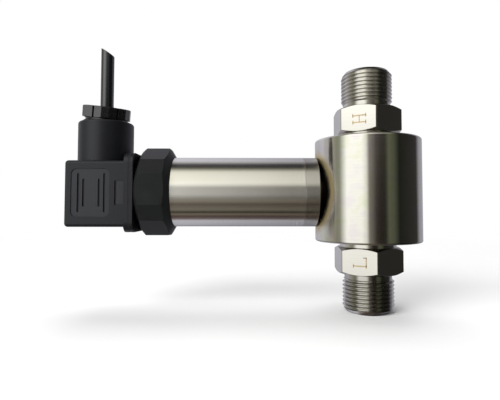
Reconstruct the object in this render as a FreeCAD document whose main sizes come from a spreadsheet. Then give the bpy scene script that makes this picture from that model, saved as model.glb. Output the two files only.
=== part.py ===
import FreeCAD, Part
import math
import os
import Sketcher

# Differential pressure transmitter, in millimetres, +Z up.
# The origin is the middle of the low pressure port's end face. The port axis is Z, the housing tube
# runs along -X from the sensor body to the plug, and the cable leaves the plug upwards.

# Every driving size: name, value, what it is. Lengths are mm, angles are degrees.
SIZES = (
    ("body_dia", 41.5, "sensor body, outside diameter"),
    ("body_height", 40.25, "sensor body, height along the ports"),
    ("body_edge", 0.8, "sensor body, rounding of its two rims"),
    ("axis_rise", 19.5, "tube axis above the sensor body's lower face"),
    ("spigot_dia", 22.0, "port fitting, round part that enters the body"),
    ("spigot_depth", 11.0, "port fitting, depth inside the body"),
    ("boss_length", 2.1, "port fitting, round part seen between body and hexagon"),
    ("hex_flats", 24.0, "port fitting, width across flats"),
    ("hex_corners", 27.4, "port fitting, diameter over the turned corners"),
    ("hex_face_dia", 23.4, "port fitting, end faces of the hexagon inside its chamfer"),
    ("hex_chamfer", 1.15, "port fitting, height of the hexagon's chamfer"),
    ("hex_length", 10.3, "port fitting, length of the hexagon"),
    ("relief_dia", 18.4, "port fitting, thread relief groove"),
    ("relief_length", 2.2, "port fitting, width of the relief groove"),
    ("thread_dia", 20.0, "port thread, outside diameter"),
    ("thread_length", 13.0, "port thread, length"),
    ("tip_dia", 17.0, "port thread, end face"),
    ("tip_length", 1.8, "port thread, length of the end chamfer"),
    ("port_bore", 6.0, "pressure bore"),
    ("fit_gap", 0.05, "radial clearance of parts that are screwed or pushed together"),
    ("capsule_dia", 19.0, "pressure capsule, outside diameter"),
    ("seal_height", 1.25, "capsule seal, height once squeezed"),
    ("seal_width", 1.8, "capsule seal, radial width once squeezed"),
    ("seal_ring_dia", 16.4, "capsule seal, mean diameter"),
    ("recess_dia", 13.2, "capsule, recess over each diaphragm"),
    ("recess_depth", 0.9, "capsule, depth of that recess"),
    ("foil_thickness", 0.1, "diaphragm, thickness"),
    ("ripple_height", 0.2, "diaphragm, height of its ripples"),
    ("ripple_pitch", 1.2, "diaphragm, radial pitch of its ripples"),
    ("pin_dia", 0.5, "capsule pin, diameter"),
    ("pin_length", 3.2, "capsule pin, length outside the capsule"),
    ("pin_circle", 4.4, "capsule pins, pitch circle"),
    ("neck_dia", 13.0, "neck between body and tube"),
    ("neck_seat", 14.0, "neck's inner end, from the port axis"),
    ("wire_bore", 8.0, "wire passage from the capsule into the tube"),
    ("ring_gap", 0.2, "end ring's face in front of the sensor body"),
    ("ring_length", 5.25, "end ring, length that shows"),
    ("tube_dia", 27.5, "housing tube, outside diameter"),
    ("tube_wall", 1.5, "housing tube, wall"),
    ("tube_length", 50.7, "housing tube, length"),
    ("tube_socket", 4.0, "length by which the end ring enters the tube"),
    ("slip_gap", 0.1, "radial clearance of parts that slip into the tube"),
    ("board_start", 5.2, "start of the circuit board beyond the end ring"),
    ("board_end_gap", 0.9, "gap between the circuit board and the adapter"),
    ("board_width", 20.0, "circuit board, width"),
    ("board_thick", 1.6, "circuit board, thickness"),
    ("holder_thick", 2.2, "board holder, thickness"),
    ("holder_inset", 0.6, "board holder, distance from the board's end"),
    ("holder_window", 10.0, "board holder, window for the wires"),
    ("chip_start", 8.0, "amplifier chip, distance from the board's near end"),
    ("chip_length", 10.0, "amplifier chip, length"),
    ("chip_width", 4.0, "amplifier chip, width of its case"),
    ("chip_height", 1.7, "amplifier chip, height"),
    ("chip_leg_pitch", 1.27, "amplifier chip, pitch of its legs"),
    ("chip_leg_reach", 1.0, "amplifier chip, length of a leg"),
    ("chip_leg_size", 0.4, "amplifier chip, width and height of a leg"),
    ("chip_stand", 0.1, "amplifier chip, gap under its case"),
    ("transistor_gap", 0.5, "output transistor, gap to the trimmers"),
    ("transistor_edge", 8.5, "output transistor, outer side from the board's middle"),
    ("transistor_length", 6.5, "output transistor, length"),
    ("transistor_width", 3.5, "output transistor, width of its case"),
    ("transistor_height", 1.6, "output transistor, height"),
    ("tab_length", 3.1, "output transistor, length of its tab"),
    ("tab_reach", 1.6, "output transistor, reach of its tab"),
    ("tab_height", 0.3, "output transistor, height of its tab"),
    ("small_length", 2.0, "small board part, length"),
    ("small_width", 1.3, "small board part, width"),
    ("small_height", 0.7, "small board part, height"),
    ("small_pitch", 3.6, "small board parts, pitch along the board"),
    ("small_row", 6.9, "small board parts, middle of a row from the board's middle"),
    ("small_start", 3.8, "small board parts, first one from the board's near end"),
    ("trimmer_side", 4.8, "trimmer, side"),
    ("trimmer_height", 3.4, "trimmer, height of its case"),
    ("trimmer_middle", 5.0, "trimmer, middle from the board's middle"),
    ("trimmer_inset", 6.2, "trimmer, middle from the board's far end"),
    ("adjuster_dia", 3.2, "trimmer adjuster, diameter"),
    ("adjuster_height", 0.5, "trimmer adjuster, height"),
    ("adjuster_slot", 0.4, "trimmer adjuster, depth of its slot"),
    ("adjuster_slit", 0.5, "trimmer adjuster, width of its slot"),
    ("lead_dia", 1.0, "insulated wire, diameter"),
    ("lead_end_gap", 0.15, "gap between a wire's end and what it is joined to"),
    ("lead_overlap", 1.5, "length of the sensor wires over the board"),
    ("output_lead_pitch", 2.4, "output wires at the board, pitch"),
    ("adapter_length", 13.0, "hexagonal adapter, length that shows"),
    ("adapter_corners", 34.9, "hexagonal adapter, diameter over corners"),
    ("adapter_half_flat", 19.1, "half the angle of one broad flat"),
    ("adapter_turn", 1.5, "turn of the broad flat away from the front"),
    ("adapter_cone", 2.1, "length of each end cone"),
    ("adapter_tube_face", 27.8, "adapter's end face at the tube, diameter"),
    ("adapter_plug_face", 28.8, "adapter's end face at the plug, diameter"),
    ("adapter_spigot", 7.0, "adapter, length inside the tube"),
    ("adapter_window", 21.0, "adapter, bore for the wires"),
    ("ring_groove", 1.2, "adapter, depth of its seal groove"),
    ("ring_width", 1.8, "adapter seal, width along the axis"),
    ("groove_setback", 1.2, "seal groove behind the adapter's shoulder"),
    ("carrier_dia", 25.0, "contact carrier, round part inside the adapter"),
    ("carrier_depth", 9.0, "contact carrier, depth inside the adapter"),
    ("flange_side", 29.7, "square flange and plug rim, side"),
    ("flange_drop", 0.6, "middle of the square flange below the tube axis"),
    ("flange_corner", 4.0, "square flange, corner radius"),
    ("flange_thick", 1.2, "contact carrier, flange thickness"),
    ("gasket_thick", 0.7, "flat gasket, thickness once squeezed"),
    ("gasket_inset", 0.05, "flat gasket, how far its edge stands back"),
    ("rim_thick", 1.6, "plug rim, thickness"),
    ("blade_circle", 18.0, "contacts, distance between opposite ones"),
    ("blade_width", 6.3, "contact blade, width"),
    ("blade_thick", 0.8, "contact blade, thickness"),
    ("blade_reach", 9.0, "contact blade, length beyond the flange"),
    ("blade_tail", 3.5, "contact blade, length behind the carrier"),
    ("blade_gap", 0.1, "clearance round a blade inside its socket"),
    ("blade_fit", 0.02, "clearance round a blade in its carrier"),
    ("gasket_gap", 0.3, "clearance round a blade in the gasket"),
    ("nut_insert_dia", 5.2, "threaded insert, outside diameter"),
    ("nut_insert_length", 6.2, "threaded insert, length"),
    ("plug_length", 22.65, "plug block, length behind its rim"),
    ("plug_width", 25.7, "plug block, width"),
    ("plug_above", 11.45, "plug block, top above the tube axis"),
    ("plug_below", 13.47, "plug block, bottom below the tube axis"),
    ("plug_edge", 1.3, "plug block, edge rounding"),
    ("cavity_side", 20.6, "plug block, inside width"),
    ("cavity_depth", 18.7, "plug block, inside depth from its open face"),
    ("turret_dia", 21.2, "cable turret, outside diameter"),
    ("turret_top", 27.5, "cable turret, top above the tube axis"),
    ("turret_setback", 11.7, "cable turret, axis behind the rim"),
    ("turret_edge", 0.8, "cable turret, rounding of its top rim"),
    ("gland_bore", 18.9, "cable turret, bore for seal and nut"),
    ("gland_floor", 14.0, "cable turret, floor of that bore above the tube axis"),
    ("cable_hole", 8.0, "hole from the turret into the plug block"),
    ("panel_left", 20.05, "side panel, far edge behind the rim"),
    ("panel_right", 5.8, "side panel, near edge behind the rim"),
    ("panel_above", 8.25, "side panel, top above the tube axis"),
    ("panel_below", 9.7, "side panel, bottom below the tube axis"),
    ("panel_corner", 2.0, "side panel, corner radius"),
    ("panel_depth", 0.3, "side panel, depth"),
    ("bar_width", 0.75, "groove in the side panel, width"),
    ("bar_depth", 0.5, "groove in the side panel, depth below the panel"),
    ("bar_middle", 12.6, "middle of the four grooves behind the rim"),
    ("bar_outer", 9.7, "distance between the two long grooves"),
    ("bar_inner", 5.76, "distance between the two short grooves"),
    ("bar_long", 14.5, "long groove, length"),
    ("bar_short", 10.4, "short groove, length"),
    ("latch_setback", 3.5, "latch line behind the rim"),
    ("latch_height", 9.0, "latch line, length"),
    ("latch_seam", 0.3, "seams from the latch line to the rim, width"),
    ("latch_seam_depth", 0.25, "seams from the latch line to the rim, depth"),
    ("insert_gap", 0.15, "clearance of the terminal insert in the plug"),
    ("insert_depth", 9.2, "terminal insert, depth"),
    ("socket_wall", 0.6, "socket contact, wall"),
    ("socket_setback", 1.0, "socket contact, start inside the insert"),
    ("terminal_circle", 14.4, "terminal screws, distance between opposite ones"),
    ("terminal_dia", 4.6, "terminal screw, head diameter"),
    ("terminal_head", 1.0, "terminal screw, head height"),
    ("slot_width", 0.8, "screw slot, width"),
    ("screw_dia", 3.0, "fixing screw, thread diameter"),
    ("screw_head_dia", 5.8, "fixing screw, head diameter"),
    ("screw_head", 2.2, "fixing screw, head height"),
    ("screw_slot", 1.1, "fixing screw, depth of its slot"),
    ("screw_reach", 4.6, "fixing screw, length inside the threaded insert"),
    ("screw_hole_gap", 0.2, "radial clearance of the fixing screw in the plug"),
    ("head_recess_dia", 7.2, "recess for the screw's head, diameter"),
    ("head_recess", 3.2, "recess for the screw's head, depth"),
    ("screw_washer_dia", 6.6, "screw washer, outside diameter"),
    ("screw_washer_thick", 0.6, "screw washer, thickness"),
    ("gland_corners", 19.0, "gland nut, diameter over corners"),
    ("gland_half_flat", 21.6, "gland nut, half the angle of a broad flat"),
    ("gland_turn", 14.0, "gland nut, turn of a corner from the front to the tube"),
    ("gland_height", 4.4, "gland nut, height of its head"),
    ("gland_thread", 17.4, "gland nut, thread diameter"),
    ("gland_reach", 4.2, "gland nut, thread length below its head"),
    ("gland_hole", 8.4, "gland nut, hole for the cable"),
    ("gland_rest", 29.5, "middle of the head's lower face above the tube axis"),
    ("gland_lean", 6.2, "gland nut, lean towards the tube"),
    ("gland_nod", 8.0, "gland nut, lean towards the front"),
    ("gland_slit", 0.85, "gland nut, width of the groove in each flat"),
    ("gland_slit_depth", 0.6, "gland nut, depth of that groove"),
    ("gland_edge", 0.3, "gland nut, chamfer of its rims"),
    ("gland_washer_gap", 0.55, "radial clearance of the gland washer in the turret"),
    ("gland_washer_thick", 1.0, "gland washer, thickness"),
    ("gland_washer_hole", 7.0, "gland washer, hole"),
    ("gland_seal_gap", 0.3, "radial clearance of the cable seal in the turret"),
    ("gland_seal_top", 22.7, "cable seal, top above the tube axis"),
    ("cable_dia", 5.1, "cable, outside diameter"),
    ("jacket_wall", 0.55, "cable jacket, wall"),
    ("cable_start", 8.5, "lower end of the jacket above the tube axis"),
    ("cable_top", 58.4, "highest point of the cut end above the tube axis"),
    ("cable_cut", 33.0, "slope of the cut end"),
    ("core_dia", 1.7, "cable core, diameter"),
    ("core_tail", 5.0, "cable core, length bared inside the plug"),
)

PORT_SIDES = ("high", "low")
RIPPLES = 5
CAPSULE_PINS = 5
CHIP_LEGS = 8
SMALL_PARTS_A_ROW = 3
HEX_SIDES = 6
CORES = 3
FULL_TURN = 360
QUARTER_TURN = 90

# Two outlines that overlap or stand apart by less than this count as the same.
HAIR = 1e-6


class Term:
    """A size, or a sum made of sizes: its expression in the document and its value now."""

    def __init__(self, text, value):
        self.text = text
        self.value = value

    @staticmethod
    def of(thing):
        return thing if isinstance(thing, Term) else Term(repr(thing), thing)

    def __add__(self, other):
        other = Term.of(other)
        return Term(f"({self.text} + {other.text})", self.value + other.value)

    def __radd__(self, other):
        return Term.of(other) + self

    def __sub__(self, other):
        other = Term.of(other)
        return Term(f"({self.text} - {other.text})", self.value - other.value)

    def __rsub__(self, other):
        return Term.of(other) - self

    def __mul__(self, other):
        other = Term.of(other)
        return Term(f"({self.text} * {other.text})", self.value * other.value)

    def __rmul__(self, other):
        return Term.of(other) * self

    def __truediv__(self, other):
        other = Term.of(other)
        return Term(f"({self.text} / {other.text})", self.value / other.value)

    def __neg__(self):
        return Term(f"(0 - {self.text})", -self.value)


def cosine(angle):
    angle = Term.of(angle)
    return Term(f"cos({angle.text})", math.cos(math.radians(angle.value)))


def sine(angle):
    angle = Term.of(angle)
    return Term(f"sin({angle.text})", math.sin(math.radians(angle.value)))


def tangent(angle):
    angle = Term.of(angle)
    return Term(f"tan({angle.text})", math.tan(math.radians(angle.value)))


# Document and spreadsheet

doc = FreeCAD.newDocument("transmitter")
sheet = doc.addObject("Spreadsheet::Sheet", "sizes")
for row, (alias, value, note) in enumerate(SIZES, start=1):
    sheet.set(f"A{row}", note)
    sheet.set(f"B{row}", str(value))
    sheet.setAlias(f"B{row}", alias)
doc.recompute()


def size(name):
    """The named cell of the sheet."""
    return Term(f"sizes.{name}", float(sheet.get(name)))


# Lines that several pieces share. Distances along the tube are counted from the port axis.
fitting_reach = size("boss_length") + size("hex_length") + size("relief_length") + size("thread_length")
body_base = fitting_reach
body_top = body_base + size("body_height")
axis_height = body_base + size("axis_rise")
ring_face = size("body_dia") / 2 + size("ring_gap")
tube_start = ring_face + size("ring_length")
tube_end = tube_start + size("tube_length")
tube_inside = size("tube_dia") / 2 - size("tube_wall")
board_near = tube_start + size("board_start")
board_far = tube_end - size("adapter_spigot") - size("board_end_gap")
flange_back = tube_end + size("adapter_length")
flange_front = flange_back + size("flange_thick")
gasket_front = flange_front + size("gasket_thick")
rim_back = gasket_front + size("rim_thick")
plug_back = rim_back + size("plug_length")
turret_line = rim_back + size("turret_setback")
recess_floor = plug_back - size("head_recess")
carrier_back = flange_back - size("carrier_depth")
insert_front = gasket_front + size("insert_gap")
insert_back = insert_front + size("insert_depth")
capsule_length = size("body_height") - 2 * size("spigot_depth") - 2 * size("seal_height")


# Bodies, sketches and features

def add_body(name):
    """An empty body named after its piece."""
    body = doc.addObject("PartDesign::Body", name)
    body.Label = name
    return body


def stand_upright(thing, distance, height):
    """Local Z is up, on a line at this distance from the port axis towards the plug."""
    thing.setExpression("Placement.Base.x", (-distance).text)
    thing.setExpression("Placement.Base.z", height.text)


def lay_on_tube(thing):
    """Local Z runs along the tube from the port axis to the plug, and local X is up."""
    thing.Placement = FreeCAD.Placement(
        FreeCAD.Vector(0, 0, 0), FreeCAD.Rotation(FreeCAD.Vector(0, 1, 0), -90)
    )
    thing.setExpression("Placement.Base.z", axis_height.text)


def add_sketch(body, role, offset=None):
    """A sketch on one of the body's own origin planes, moved along that plane's normal."""
    sketch = body.newObject("Sketcher::SketchObject", body.Label + "_sketch")
    plane = next(f for f in body.Origin.OriginFeatures if f.Role == role)
    sketch.AttachmentSupport = (plane, "")
    sketch.MapMode = "FlatFace"
    if offset is not None:
        sketch.setExpression("AttachmentOffset.Base.z", Term.of(offset).text)
    return sketch


def tie(sketch, kind, *targets, to):
    """A dimension of the sketch, bound to a size."""
    to = Term.of(to)
    index = sketch.addConstraint(Sketcher.Constraint(kind, *targets, to.value))
    sketch.setExpression(f"Constraints[{index}]", to.text)


def pin_point(sketch, geometry, point, x, y):
    """Holds a point of the sketch at this place from its origin."""
    for kind, axis, place in (("DistanceX", -2, x), ("DistanceY", -1, y)):
        if isinstance(place, (int, float)) and place == 0:
            sketch.addConstraint(Sketcher.Constraint("PointOnObject", geometry, point, axis))
        else:
            tie(sketch, kind, -1, 1, geometry, point, to=place)


def draw_outline(sketch, points):
    """A closed outline of straight lines through these points."""
    first = sketch.GeometryCount
    corners = [FreeCAD.Vector(Term.of(x).value, Term.of(y).value, 0) for x, y in points]
    for start, end in zip(corners, corners[1:] + corners[:1]):
        sketch.addGeometry(Part.LineSegment(start, end), False)
    count = len(points)
    for i in range(count):
        following = first + (i + 1) % count
        sketch.addConstraint(Sketcher.Constraint("Coincident", first + i, 2, following, 1))
    for i, (x, y) in enumerate(points):
        pin_point(sketch, first + i, 1, x, y)


def draw_circle(sketch, radius, x=0, y=0):
    """A circle of this radius."""
    centre = FreeCAD.Vector(Term.of(x).value, Term.of(y).value, 0)
    circle = Part.Circle(centre, FreeCAD.Vector(0, 0, 1), Term.of(radius).value)
    index = sketch.addGeometry(circle, False)
    pin_point(sketch, index, 3, x, y)
    tie(sketch, "Radius", index, to=radius)


def draw_box(sketch, x_low, x_high, y_low, y_high):
    """An upright rectangle."""
    draw_outline(sketch, [(x_low, y_low), (x_high, y_low), (x_high, y_high), (x_low, y_high)])


def draw_slot(sketch, x, y, width, height, upright=False):
    """A round-ended outline of this overall width and height."""
    long, short = (height, width) if upright else (width, height)
    radius = short / 2
    half = (long - short) / 2
    middle = [(Term.of(x), Term.of(y) - half), (Term.of(x), Term.of(y) + half)]
    if not upright:
        middle = [(Term.of(x) - half, y), (Term.of(x) + half, y)]
    (ax, ay), (bx, by) = middle
    low = FreeCAD.Vector(Term.of(ax).value, Term.of(ay).value, 0)
    high = FreeCAD.Vector(Term.of(bx).value, Term.of(by).value, 0)
    along = (high - low).normalize()
    side = FreeCAD.Vector(along.y, -along.x, 0) * radius.value
    round_end = along * radius.value
    first = sketch.GeometryCount
    sketch.addGeometry(Part.LineSegment(low + side, high + side), False)
    sketch.addGeometry(Part.Arc(high + side, high + round_end, high - side), False)
    sketch.addGeometry(Part.LineSegment(high - side, low - side), False)
    sketch.addGeometry(Part.Arc(low - side, low - round_end, low + side), False)
    for i in range(4):
        following = first + (i + 1) % 4
        sketch.addConstraint(Sketcher.Constraint("Tangent", first + i, 2, following, 1))
    sketch.addConstraint(Sketcher.Constraint("Equal", first + 1, first + 3))
    pin_point(sketch, first + 1, 3, bx, by)
    pin_point(sketch, first + 3, 3, ax, ay)
    tie(sketch, "Radius", first + 1, to=radius)


def draw_rounded_box(sketch, x_low, x_high, y_low, y_high, radius):
    """An upright rectangle with round corners."""
    xa, xb, ya, yb, r = [Term.of(v).value for v in (x_low, x_high, y_low, y_high, radius)]
    first = sketch.GeometryCount
    centres = ((xb - r, ya + r), (xb - r, yb - r), (xa + r, yb - r), (xa + r, ya + r))
    rounds = []
    for k, (x, y) in enumerate(centres):
        start = QUARTER_TURN * (k - 1)
        bend = [FreeCAD.Vector(x + r * math.cos(math.radians(a)), y + r * math.sin(math.radians(a)), 0)
                for a in (start, start + QUARTER_TURN / 2, start + QUARTER_TURN)]
        rounds.append(bend)
    for bend, following in zip(rounds, rounds[1:] + rounds[:1]):
        sketch.addGeometry(Part.Arc(*bend), False)
        sketch.addGeometry(Part.LineSegment(bend[2], following[0]), False)
    for i in range(8):
        following = first + (i + 1) % 8
        sketch.addConstraint(Sketcher.Constraint("Tangent", first + i, 2, following, 1))
    for arc in (2, 4, 6):
        sketch.addConstraint(Sketcher.Constraint("Equal", first, first + arc))
    tie(sketch, "Radius", first, to=radius)
    pin_point(sketch, first, 3, Term.of(x_high) - radius, Term.of(y_low) + radius)
    pin_point(sketch, first + 4, 3, Term.of(x_low) + radius, Term.of(y_high) - radius)


def polygon(corners, angles):
    """Corners of a polygon on a circle of this diameter."""
    return [(corners / 2 * cosine(a), corners / 2 * sine(a)) for a in angles]


def pad(body, sketch, length, backwards=False):
    """Adds the sketch's area, this long."""
    feature = body.newObject("PartDesign::Pad", body.Label + "_pad")
    feature.Profile = sketch
    feature.setExpression("Length", Term.of(length).text)
    feature.Reversed = backwards
    sketch.Visibility = False
    doc.recompute()
    return feature


def pocket(body, sketch, length=None):
    """Cuts the sketch's area from the solid, this deep or right through.

    The cut is turned round if it would point away from the solid.
    """
    before = body.Shape.Volume
    feature = body.newObject("PartDesign::Pocket", body.Label + "_pocket")
    feature.Profile = sketch
    if length is None:
        feature.Type = "ThroughAll"
    else:
        feature.setExpression("Length", Term.of(length).text)
    sketch.Visibility = False
    doc.recompute()
    if not feature.Shape.Volume < before - HAIR:
        feature.Reversed = True
        doc.recompute()
    if not feature.Shape.Volume < before - HAIR:
        raise RuntimeError(f"{body.Label}: a pocket cuts nothing")
    return feature


def turn(body, points):
    """Revolves an outline of (radius, distance along local Z) round local Z."""
    sketch = add_sketch(body, "XZ_Plane")
    draw_outline(sketch, points)
    return revolve(body, sketch)


def revolve(body, sketch):
    """Revolves a sketch round local Z."""
    feature = body.newObject("PartDesign::Revolution", body.Label + "_turned")
    feature.Profile = sketch
    feature.ReferenceAxis = (sketch, ["V_Axis"])
    feature.Angle = FULL_TURN
    sketch.Visibility = False
    doc.recompute()
    return feature


def round_edges(body, radius, wanted):
    """Rounds the edges of the body that the test picks."""
    base = body.Tip
    names = [f"Edge{i + 1}" for i, edge in enumerate(base.Shape.Edges) if wanted(edge)]
    feature = body.newObject("PartDesign::Fillet", body.Label + "_rounding")
    feature.Base = (base, names)
    feature.setExpression("Radius", Term.of(radius).text)
    doc.recompute()
    return feature


def repeat_round(body, feature, count):
    """Repeats a feature evenly round local Z."""
    pattern = body.newObject("PartDesign::PolarPattern", body.Label + "_pattern")
    pattern.Originals = [feature]
    axis = next(f for f in body.Origin.OriginFeatures if f.Role == "Z_Axis")
    pattern.Axis = (axis, [""])
    pattern.Angle = FULL_TURN
    pattern.Occurrences = count
    body.Tip = pattern
    doc.recompute()
    return pattern


def parallel_to(x, y, z):
    """A test for straight edges along this local direction."""
    direction = FreeCAD.Vector(x, y, z)

    def wanted(edge):
        if edge.Curve.TypeId != "Part::GeomLine":
            return False
        return abs(edge.tangentAt(edge.FirstParameter).dot(direction)) > 0.999

    return wanted


def at_height(height, least_radius):
    """A test for edges that lie at this local height, at least this far from local Z."""

    def wanted(edge):
        points = [v.Point for v in edge.Vertexes]
        level = all(abs(p.z - height.value) < HAIR for p in points)
        return level and max(math.hypot(p.x, p.y) for p in points) > least_radius.value

    return wanted


def add_cylinder(name, diameter, length, centre, frame=lay_on_tube):
    """A plain round bar along local Z from this centre, in the frame of its piece."""
    bar = doc.addObject("Part::Cylinder", name)
    bar.setExpression("Radius", (diameter / 2).text)
    bar.setExpression("Height", length.text)
    shift(bar, centre, frame)
    return bar


def add_block(name, low, high, frame=lay_on_tube):
    """A block between two corners, in the frame of its piece."""
    block = doc.addObject("Part::Box", name)
    for prop, a, b in zip(("Length", "Width", "Height"), low, high):
        block.setExpression(prop, (Term.of(b) - a).text)
    shift(block, low, frame)
    return block


def shift(thing, place, frame):
    """Puts a primitive at a local place of the tube's frame or of an upright one."""
    x, y, z = [Term.of(p) for p in place]
    if frame is lay_on_tube:
        lay_on_tube(thing)
        x, z = -z, axis_height + x
    thing.setExpression("Placement.Base.x", x.text)
    thing.setExpression("Placement.Base.y", y.text)
    thing.setExpression("Placement.Base.z", z.text)


def group(name, members):
    """Several separate solids that make one node."""
    whole = doc.addObject("Part::Compound", name)
    whole.Label = name
    whole.Links = members
    return whole


# Sensor body and ports

def make_sensor_body():
    """Turned body: a bore for the capsule, a seat for each fitting and a side hole for the neck."""
    body = add_body("sensor_body")
    body.setExpression("Placement.Base.z", body_base.text)
    outer = size("body_dia") / 2
    seat = size("spigot_dia") / 2 + size("fit_gap")
    bore = size("capsule_dia") / 2 + size("fit_gap")
    low = size("spigot_depth")
    high = size("body_height") - size("spigot_depth")
    top = size("body_height")
    turn(body, [(bore, low), (seat, low), (seat, 0), (outer, 0), (outer, top), (seat, top),
                (seat, high), (bore, high)])
    rims = [at_height(Term.of(0), seat + 1), at_height(top, seat + 1)]
    round_edges(body, size("body_edge"), lambda edge: any(test(edge) for test in rims))
    neck = add_sketch(body, "YZ_Plane", -size("neck_seat"))
    draw_circle(neck, size("neck_dia") / 2 + size("fit_gap"), 0, size("axis_rise"))
    pocket(body, neck, outer)
    wires = add_sketch(body, "YZ_Plane")
    draw_circle(wires, size("wire_bore") / 2, 0, size("axis_rise"))
    pocket(body, wires, outer)
    return body


def make_port_fitting(side):
    """Turned port: spigot, boss, hexagon, relief groove and thread, with a bore right through."""
    body = add_body(f"{side}_port_fitting")
    if side == "high":
        body.setExpression("Placement.Base.z", body_top.text)
    else:
        body.Placement = FreeCAD.Placement(
            FreeCAD.Vector(0, 0, 0), FreeCAD.Rotation(FreeCAD.Vector(1, 0, 0), 180)
        )
        body.setExpression("Placement.Base.z", body_base.text)
    bore = size("port_bore") / 2
    spigot = size("spigot_dia") / 2
    corner = size("hex_corners") / 2
    face = size("hex_face_dia") / 2
    relief = size("relief_dia") / 2
    thread = size("thread_dia") / 2
    hex_start = size("boss_length")
    hex_end = hex_start + size("hex_length")
    thread_start = hex_end + size("relief_length")
    lead_in = thread - relief
    turn(body, [
        (bore, -size("spigot_depth")), (spigot, -size("spigot_depth")), (spigot, hex_start),
        (face, hex_start), (corner, hex_start + size("hex_chamfer")),
        (corner, hex_end - size("hex_chamfer")), (face, hex_end), (relief, hex_end),
        (relief, thread_start), (thread, thread_start + lead_in),
        (thread, fitting_reach - size("tip_length")), (size("tip_dia") / 2, fitting_reach),
        (bore, fitting_reach),
    ])
    flats = add_sketch(body, "XY_Plane", hex_start)
    draw_circle(flats, corner + 1)
    step = FULL_TURN / HEX_SIDES
    across = size("hex_flats") / cosine(step / 2)
    draw_outline(flats, polygon(across, [step * (k + 0.5) for k in range(HEX_SIDES)]))
    pocket(body, flats, -size("hex_length"))
    return body


def make_pressure_capsule():
    """Sealed measuring capsule, with a shallow recess over each diaphragm."""
    body = add_body("pressure_capsule")
    stand_upright(body, Term.of(0), body_base + size("spigot_depth") + size("seal_height"))
    outer = size("capsule_dia") / 2
    recess = size("recess_dia") / 2
    deep = size("recess_depth")
    turn(body, [(0, deep), (recess, deep), (recess, 0), (outer, 0), (outer, capsule_length),
                (recess, capsule_length), (recess, capsule_length - deep),
                (0, capsule_length - deep)])
    return body


def make_diaphragm(side):
    """Thin rippled foil in the capsule's recess."""
    body = add_body(f"{side}_diaphragm")
    low = body_base + size("spigot_depth") + size("seal_height")
    if side == "high":
        body.setExpression("Placement.Base.z", (low + capsule_length - size("recess_depth")).text)
    else:
        body.Placement = FreeCAD.Placement(
            FreeCAD.Vector(0, 0, 0), FreeCAD.Rotation(FreeCAD.Vector(1, 0, 0), 180)
        )
        body.setExpression("Placement.Base.z", (low + size("recess_depth")).text)
    rest = size("foil_thickness")
    crest = rest + size("ripple_height")
    edge = size("recess_dia") / 2 - size("fit_gap")
    wave = [(edge, rest)]
    for k in range(2 * RIPPLES):
        wave.append((edge - size("ripple_pitch") / 2 * (k + 1), crest if k % 2 == 0 else rest))
    lower = [(r, z - size("foil_thickness")) for r, z in wave]
    turn(body, [(0, 0)] + lower[::-1] + wave + [(0, rest)])
    return body


def make_port_seal(side):
    """Rubber ring squeezed between the capsule and a fitting."""
    body = add_body(f"{side}_port_seal")
    gap = size("spigot_depth") + size("seal_height") / 2
    height = body_top - gap if side == "high" else body_base + gap
    stand_upright(body, Term.of(0), height)
    sketch = add_sketch(body, "XZ_Plane")
    draw_slot(sketch, size("seal_ring_dia") / 2, 0, size("seal_width"), size("seal_height"))
    revolve(body, sketch)
    return body


def pin_places():
    """Local places of the capsule's pins across the tube's axis."""
    radius = size("pin_circle") / 2
    step = FULL_TURN / CAPSULE_PINS
    return [(radius * cosine(step * k), radius * sine(step * k)) for k in range(CAPSULE_PINS)]


def make_capsule_pins():
    """Pins out of the capsule's side, in the wire passage."""
    start = size("capsule_dia") / 2 + size("fit_gap")
    pins = []
    for x, y in pin_places():
        pins.append(add_cylinder("pin", size("pin_dia"), size("pin_length"), (x, y, start)))
    return group("capsule_pins", pins)


# Housing tube and electronics

def make_neck_ring():
    """Turned end piece: neck in the body, end ring that shows, and a socket inside the tube."""
    body = add_body("neck_ring")
    lay_on_tube(body)
    bore = size("wire_bore") / 2
    socket = tube_inside - size("slip_gap")
    turn(body, [(bore, size("neck_seat")), (size("neck_dia") / 2, size("neck_seat")),
                (size("neck_dia") / 2, ring_face), (size("tube_dia") / 2, ring_face),
                (size("tube_dia") / 2, tube_start), (socket, tube_start),
                (socket, tube_start + size("tube_socket")), (bore, tube_start + size("tube_socket"))])
    return body


def make_housing_tube():
    """Plain tube round the electronics."""
    body = add_body("housing_tube")
    lay_on_tube(body)
    outer = size("tube_dia") / 2
    turn(body, [(tube_inside, tube_start), (outer, tube_start), (outer, tube_end),
                (tube_inside, tube_end)])
    return body


def make_board_holder(name, start):
    """Round plastic disc with a slot for the board and a window for the wires."""
    body = add_body(name)
    lay_on_tube(body)
    disc = add_sketch(body, "XY_Plane", start)
    draw_circle(disc, tube_inside - size("slip_gap"))
    pad(body, disc, size("holder_thick"))
    for half_height, half_width in (
        (size("board_thick") / 2 + size("fit_gap"), size("board_width") / 2 + size("fit_gap")),
        (size("holder_window") / 2, size("holder_window") / 2),
    ):
        window = add_sketch(body, "XY_Plane", start)
        draw_box(window, -half_height, half_height, -half_width, half_width)
        pocket(body, window, -size("holder_thick"))
    return body


def make_circuit_board():
    """Circuit board along the tube's axis."""
    body = add_body("circuit_board")
    lay_on_tube(body)
    sketch = add_sketch(body, "XY_Plane", board_near)
    half_thick = size("board_thick") / 2
    half_width = size("board_width") / 2
    draw_box(sketch, -half_thick, half_thick, -half_width, half_width)
    pad(body, sketch, board_far - board_near)
    return body


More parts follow.
